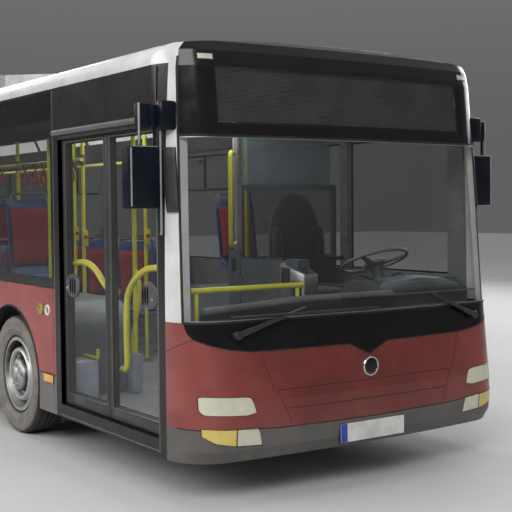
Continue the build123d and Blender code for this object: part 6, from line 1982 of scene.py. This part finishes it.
# Tail: window seals, lamp clusters, flap louvres, plate, small lamps and seams
bm = bmesh.new()
half, low_z, high_z = 0.962, 1.428, 2.232
loop = dense([(-half, low_z), (half, low_z), (half, high_z), (-half, high_z), (-half, low_z)], 0.06)[:-1]
strip_in(bm, tail, loop, 0.018, (-0.004, 0.004), closed=True)
loop = dense([(-0.322, 2.318), (0.322, 2.318), (0.322, 2.502), (-0.322, 2.502), (-0.322, 2.318)], 0.06)[:-1]
strip_in(bm, tail, loop, 0.01, (-0.003, 0.003), closed=True)
piece("tail_window_seals", bm, "rubber_trim", angle=0.4)
bm = bmesh.new()
for low, high in (((-0.95, 1.445), (-0.88, 2.215)), ((0.88, 1.445), (0.95, 2.215))):
    patch_in(bm, tail, spread(low[0], high[0], 4), lambda u, a=low[1], b=high[1]: (a, b), 6, (-0.0085, -0.0068))
patch_in(bm, tail, spread(-0.88, 0.88, 24), lambda u: (1.445, 1.515), 2, (-0.0085, -0.0068))
patch_in(bm, tail, spread(-0.88, 0.88, 24), lambda u: (2.14, 2.215), 2, (-0.0085, -0.0068))
piece("tail_window_border", bm, "black", angle=0.4)

clusters = {"red_lens": bmesh.new(), "amber": bmesh.new(), "cream_lens": bmesh.new()}
rims, base = bmesh.new(), bmesh.new()
for side in (-1, 1):
    patch_in(base, tail, sorted(side * y for y in spread(1.012, 1.178, 8)), lambda u: (0.704, 1.236), 8, (-0.03, -0.02))
    for z, key in ((1.175, "amber"), (1.045, "red_lens"), (0.915, "red_lens"), (0.785, "cream_lens")):
        y = side * 1.092
        at, ahead = tail(y, z, -0.014), (tail(y, z, 0.1) - tail(y, z, 0.0)).normalized()
        for target, section in ((clusters[key], ((0.0, 0.0), (0.0, 0.05), (0.008, 0.049), (0.013, 0.03), (0.015, 0.0))),
                (rims, ((-0.004, 0.05), (-0.004, 0.06), (0.012, 0.06), (0.014, 0.056), (0.012, 0.05)))):
            made = lathe_in(target, section, (0, 0, 0), "Z", 32)
            matrix = Matrix.Translation(at) @ ahead.to_track_quat("Z", "Y").to_matrix().to_4x4()
            bmesh.ops.transform(target, matrix=matrix, verts=made)
tail_lamp_piece = piece("tail_lamp_bases", base, "satin_black", angle=0.4)
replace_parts(tail_lamp_piece, "lamps")
piece("tail_lamp_rims", rims, "satin_black", angle=0.5)
for key, bm in clusters.items():
    piece(f"tail_{key}", bm, key, angle=0.7)

bm = bmesh.new()
for k in range(14):
    z = 0.66 + k * 0.034
    strip_in(bm, tail, dense([(-0.62, z), (0.62, z)], 0.1), 0.014, (-0.002, 0.0068))
piece("flap_louvres", bm, "satin_black", "engine_flap", angle=0.4)
bm = bmesh.new()
for y in (-0.64, 0.64):
    strip_in(bm, tail, [(y, 0.645), (y, 1.12)], 0.01, (-0.002, 0.005))
for y in (-0.5, 0.5):
    box_in(bm, tuple(tail(y - 0.045, 0.585, 0.0) - Vector((0.006, 0, 0))),
        tuple(tail(y + 0.045, 0.62, 0.0) + Vector((0.004, 0, 0))), 0.003)
piece("flap_trim", bm, "satin_black", "engine_flap", angle=0.4)
box_piece("tail_plate_holder", "plastic", ((-5.9875, -0.27, 0.345), (-5.974, 0.27, 0.47), 0.003))
box_piece("tail_plate_blank", "plate", ((-5.9893, -0.256, 0.353), (-5.985, 0.256, 0.463), 0.001))
bm = bmesh.new()
for y in (-0.95, -0.03, 0.03, 0.95):
    patch_in(bm, tail, spread(y - 0.045, y + 0.045, 4), lambda u: (2.575, 2.605), 2, (-0.002, 0.006))
piece("tail_top_lamps", bm, "red_lens")
bm = bmesh.new()
for side in (-1, 1):
    patch_in(bm, tail, spread(side * 0.78 - 0.05, side * 0.78 + 0.05, 4), lambda u: (0.425, 0.475), 3, (-0.002, 0.004))
piece("tail_reflectors", bm, "red_lens")
bm = bmesh.new()
for z in (0.52, 1.36):
    strip_in(bm, tail, dense([(-1.14, z), (1.14, z)], 0.06), 0.006, (-0.003, 0.0008))
piece("tail_seams", bm, "seam", angle=0.3)

# Underside: air tanks, air bellows, drive shaft and silencer
tanks = bmesh.new()
for x0, x1, y, z, radius in ((2.2, 1.1, 0.8, 0.225, 0.07), (2.2, 1.1, 0.62, 0.225, 0.07),
        (0.3, -0.45, -0.72, 0.225, 0.07)):
    lathe_in(tanks, [(x1, 0.0), (x1 + 0.006, radius * 0.6), (x1 + 0.04, radius), (x0 - 0.04, radius),
        (x0 - 0.006, radius * 0.6), (x0, 0.0)], (0, y, z), "X", 28)
piece("air_tanks", tanks, "frame")
bellows = bmesh.new()
for x in (-2.33, -3.04):
    for y in (-0.52, 0.52):
        section = [(0.44, 0.0)]
        for k in range(13):
            section.append((0.44 + 0.185 * k / 12, 0.105 + 0.018 * math.sin(k * math.pi / 2) ** 2))
        section.append((0.625, 0.0))
        lathe_in(bellows, section, (x, y, 0), "Z", 28)
piece("air_bellows", bellows, "rubber_trim")
bm = bmesh.new()
tube_in(bm, [(-2.865, 0.0, 0.454), (-3.2, 0.0, 0.47), (-3.9, 0.0, 0.5)], 0.055, 20)
for x in (-2.9, -3.86):
    lathe_in(bm, [(x - 0.03, 0.0), (x - 0.03, 0.085), (x + 0.02, 0.085), (x + 0.02, 0.0)],
        (0, 0, 0.46 if x > -3 else 0.5), "X", 24)
piece("drive_shaft", bm, "iron")
bm = bmesh.new()
lathe_in(bm, [(-5.4, 0.0), (-5.395, 0.1), (-5.37, 0.125), (-4.85, 0.125), (-4.825, 0.1), (-4.82, 0.0)],
    (0, -0.78, 0.52), "X", 32)
tube_in(bm, rounded_path([(-5.39, -0.8, 0.5), (-5.55, -0.82, 0.46), (-5.72, -0.86, 0.33), (-5.9, -0.88, 0.235)], 0.1),
    0.042, 18)
tube_in(bm, rounded_path([(-4.83, -0.76, 0.53), (-4.7, -0.74, 0.53), (-4.66, -0.5, 0.53)], 0.1), 0.04, 16)
piece("silencer", bm, "steel_dull")
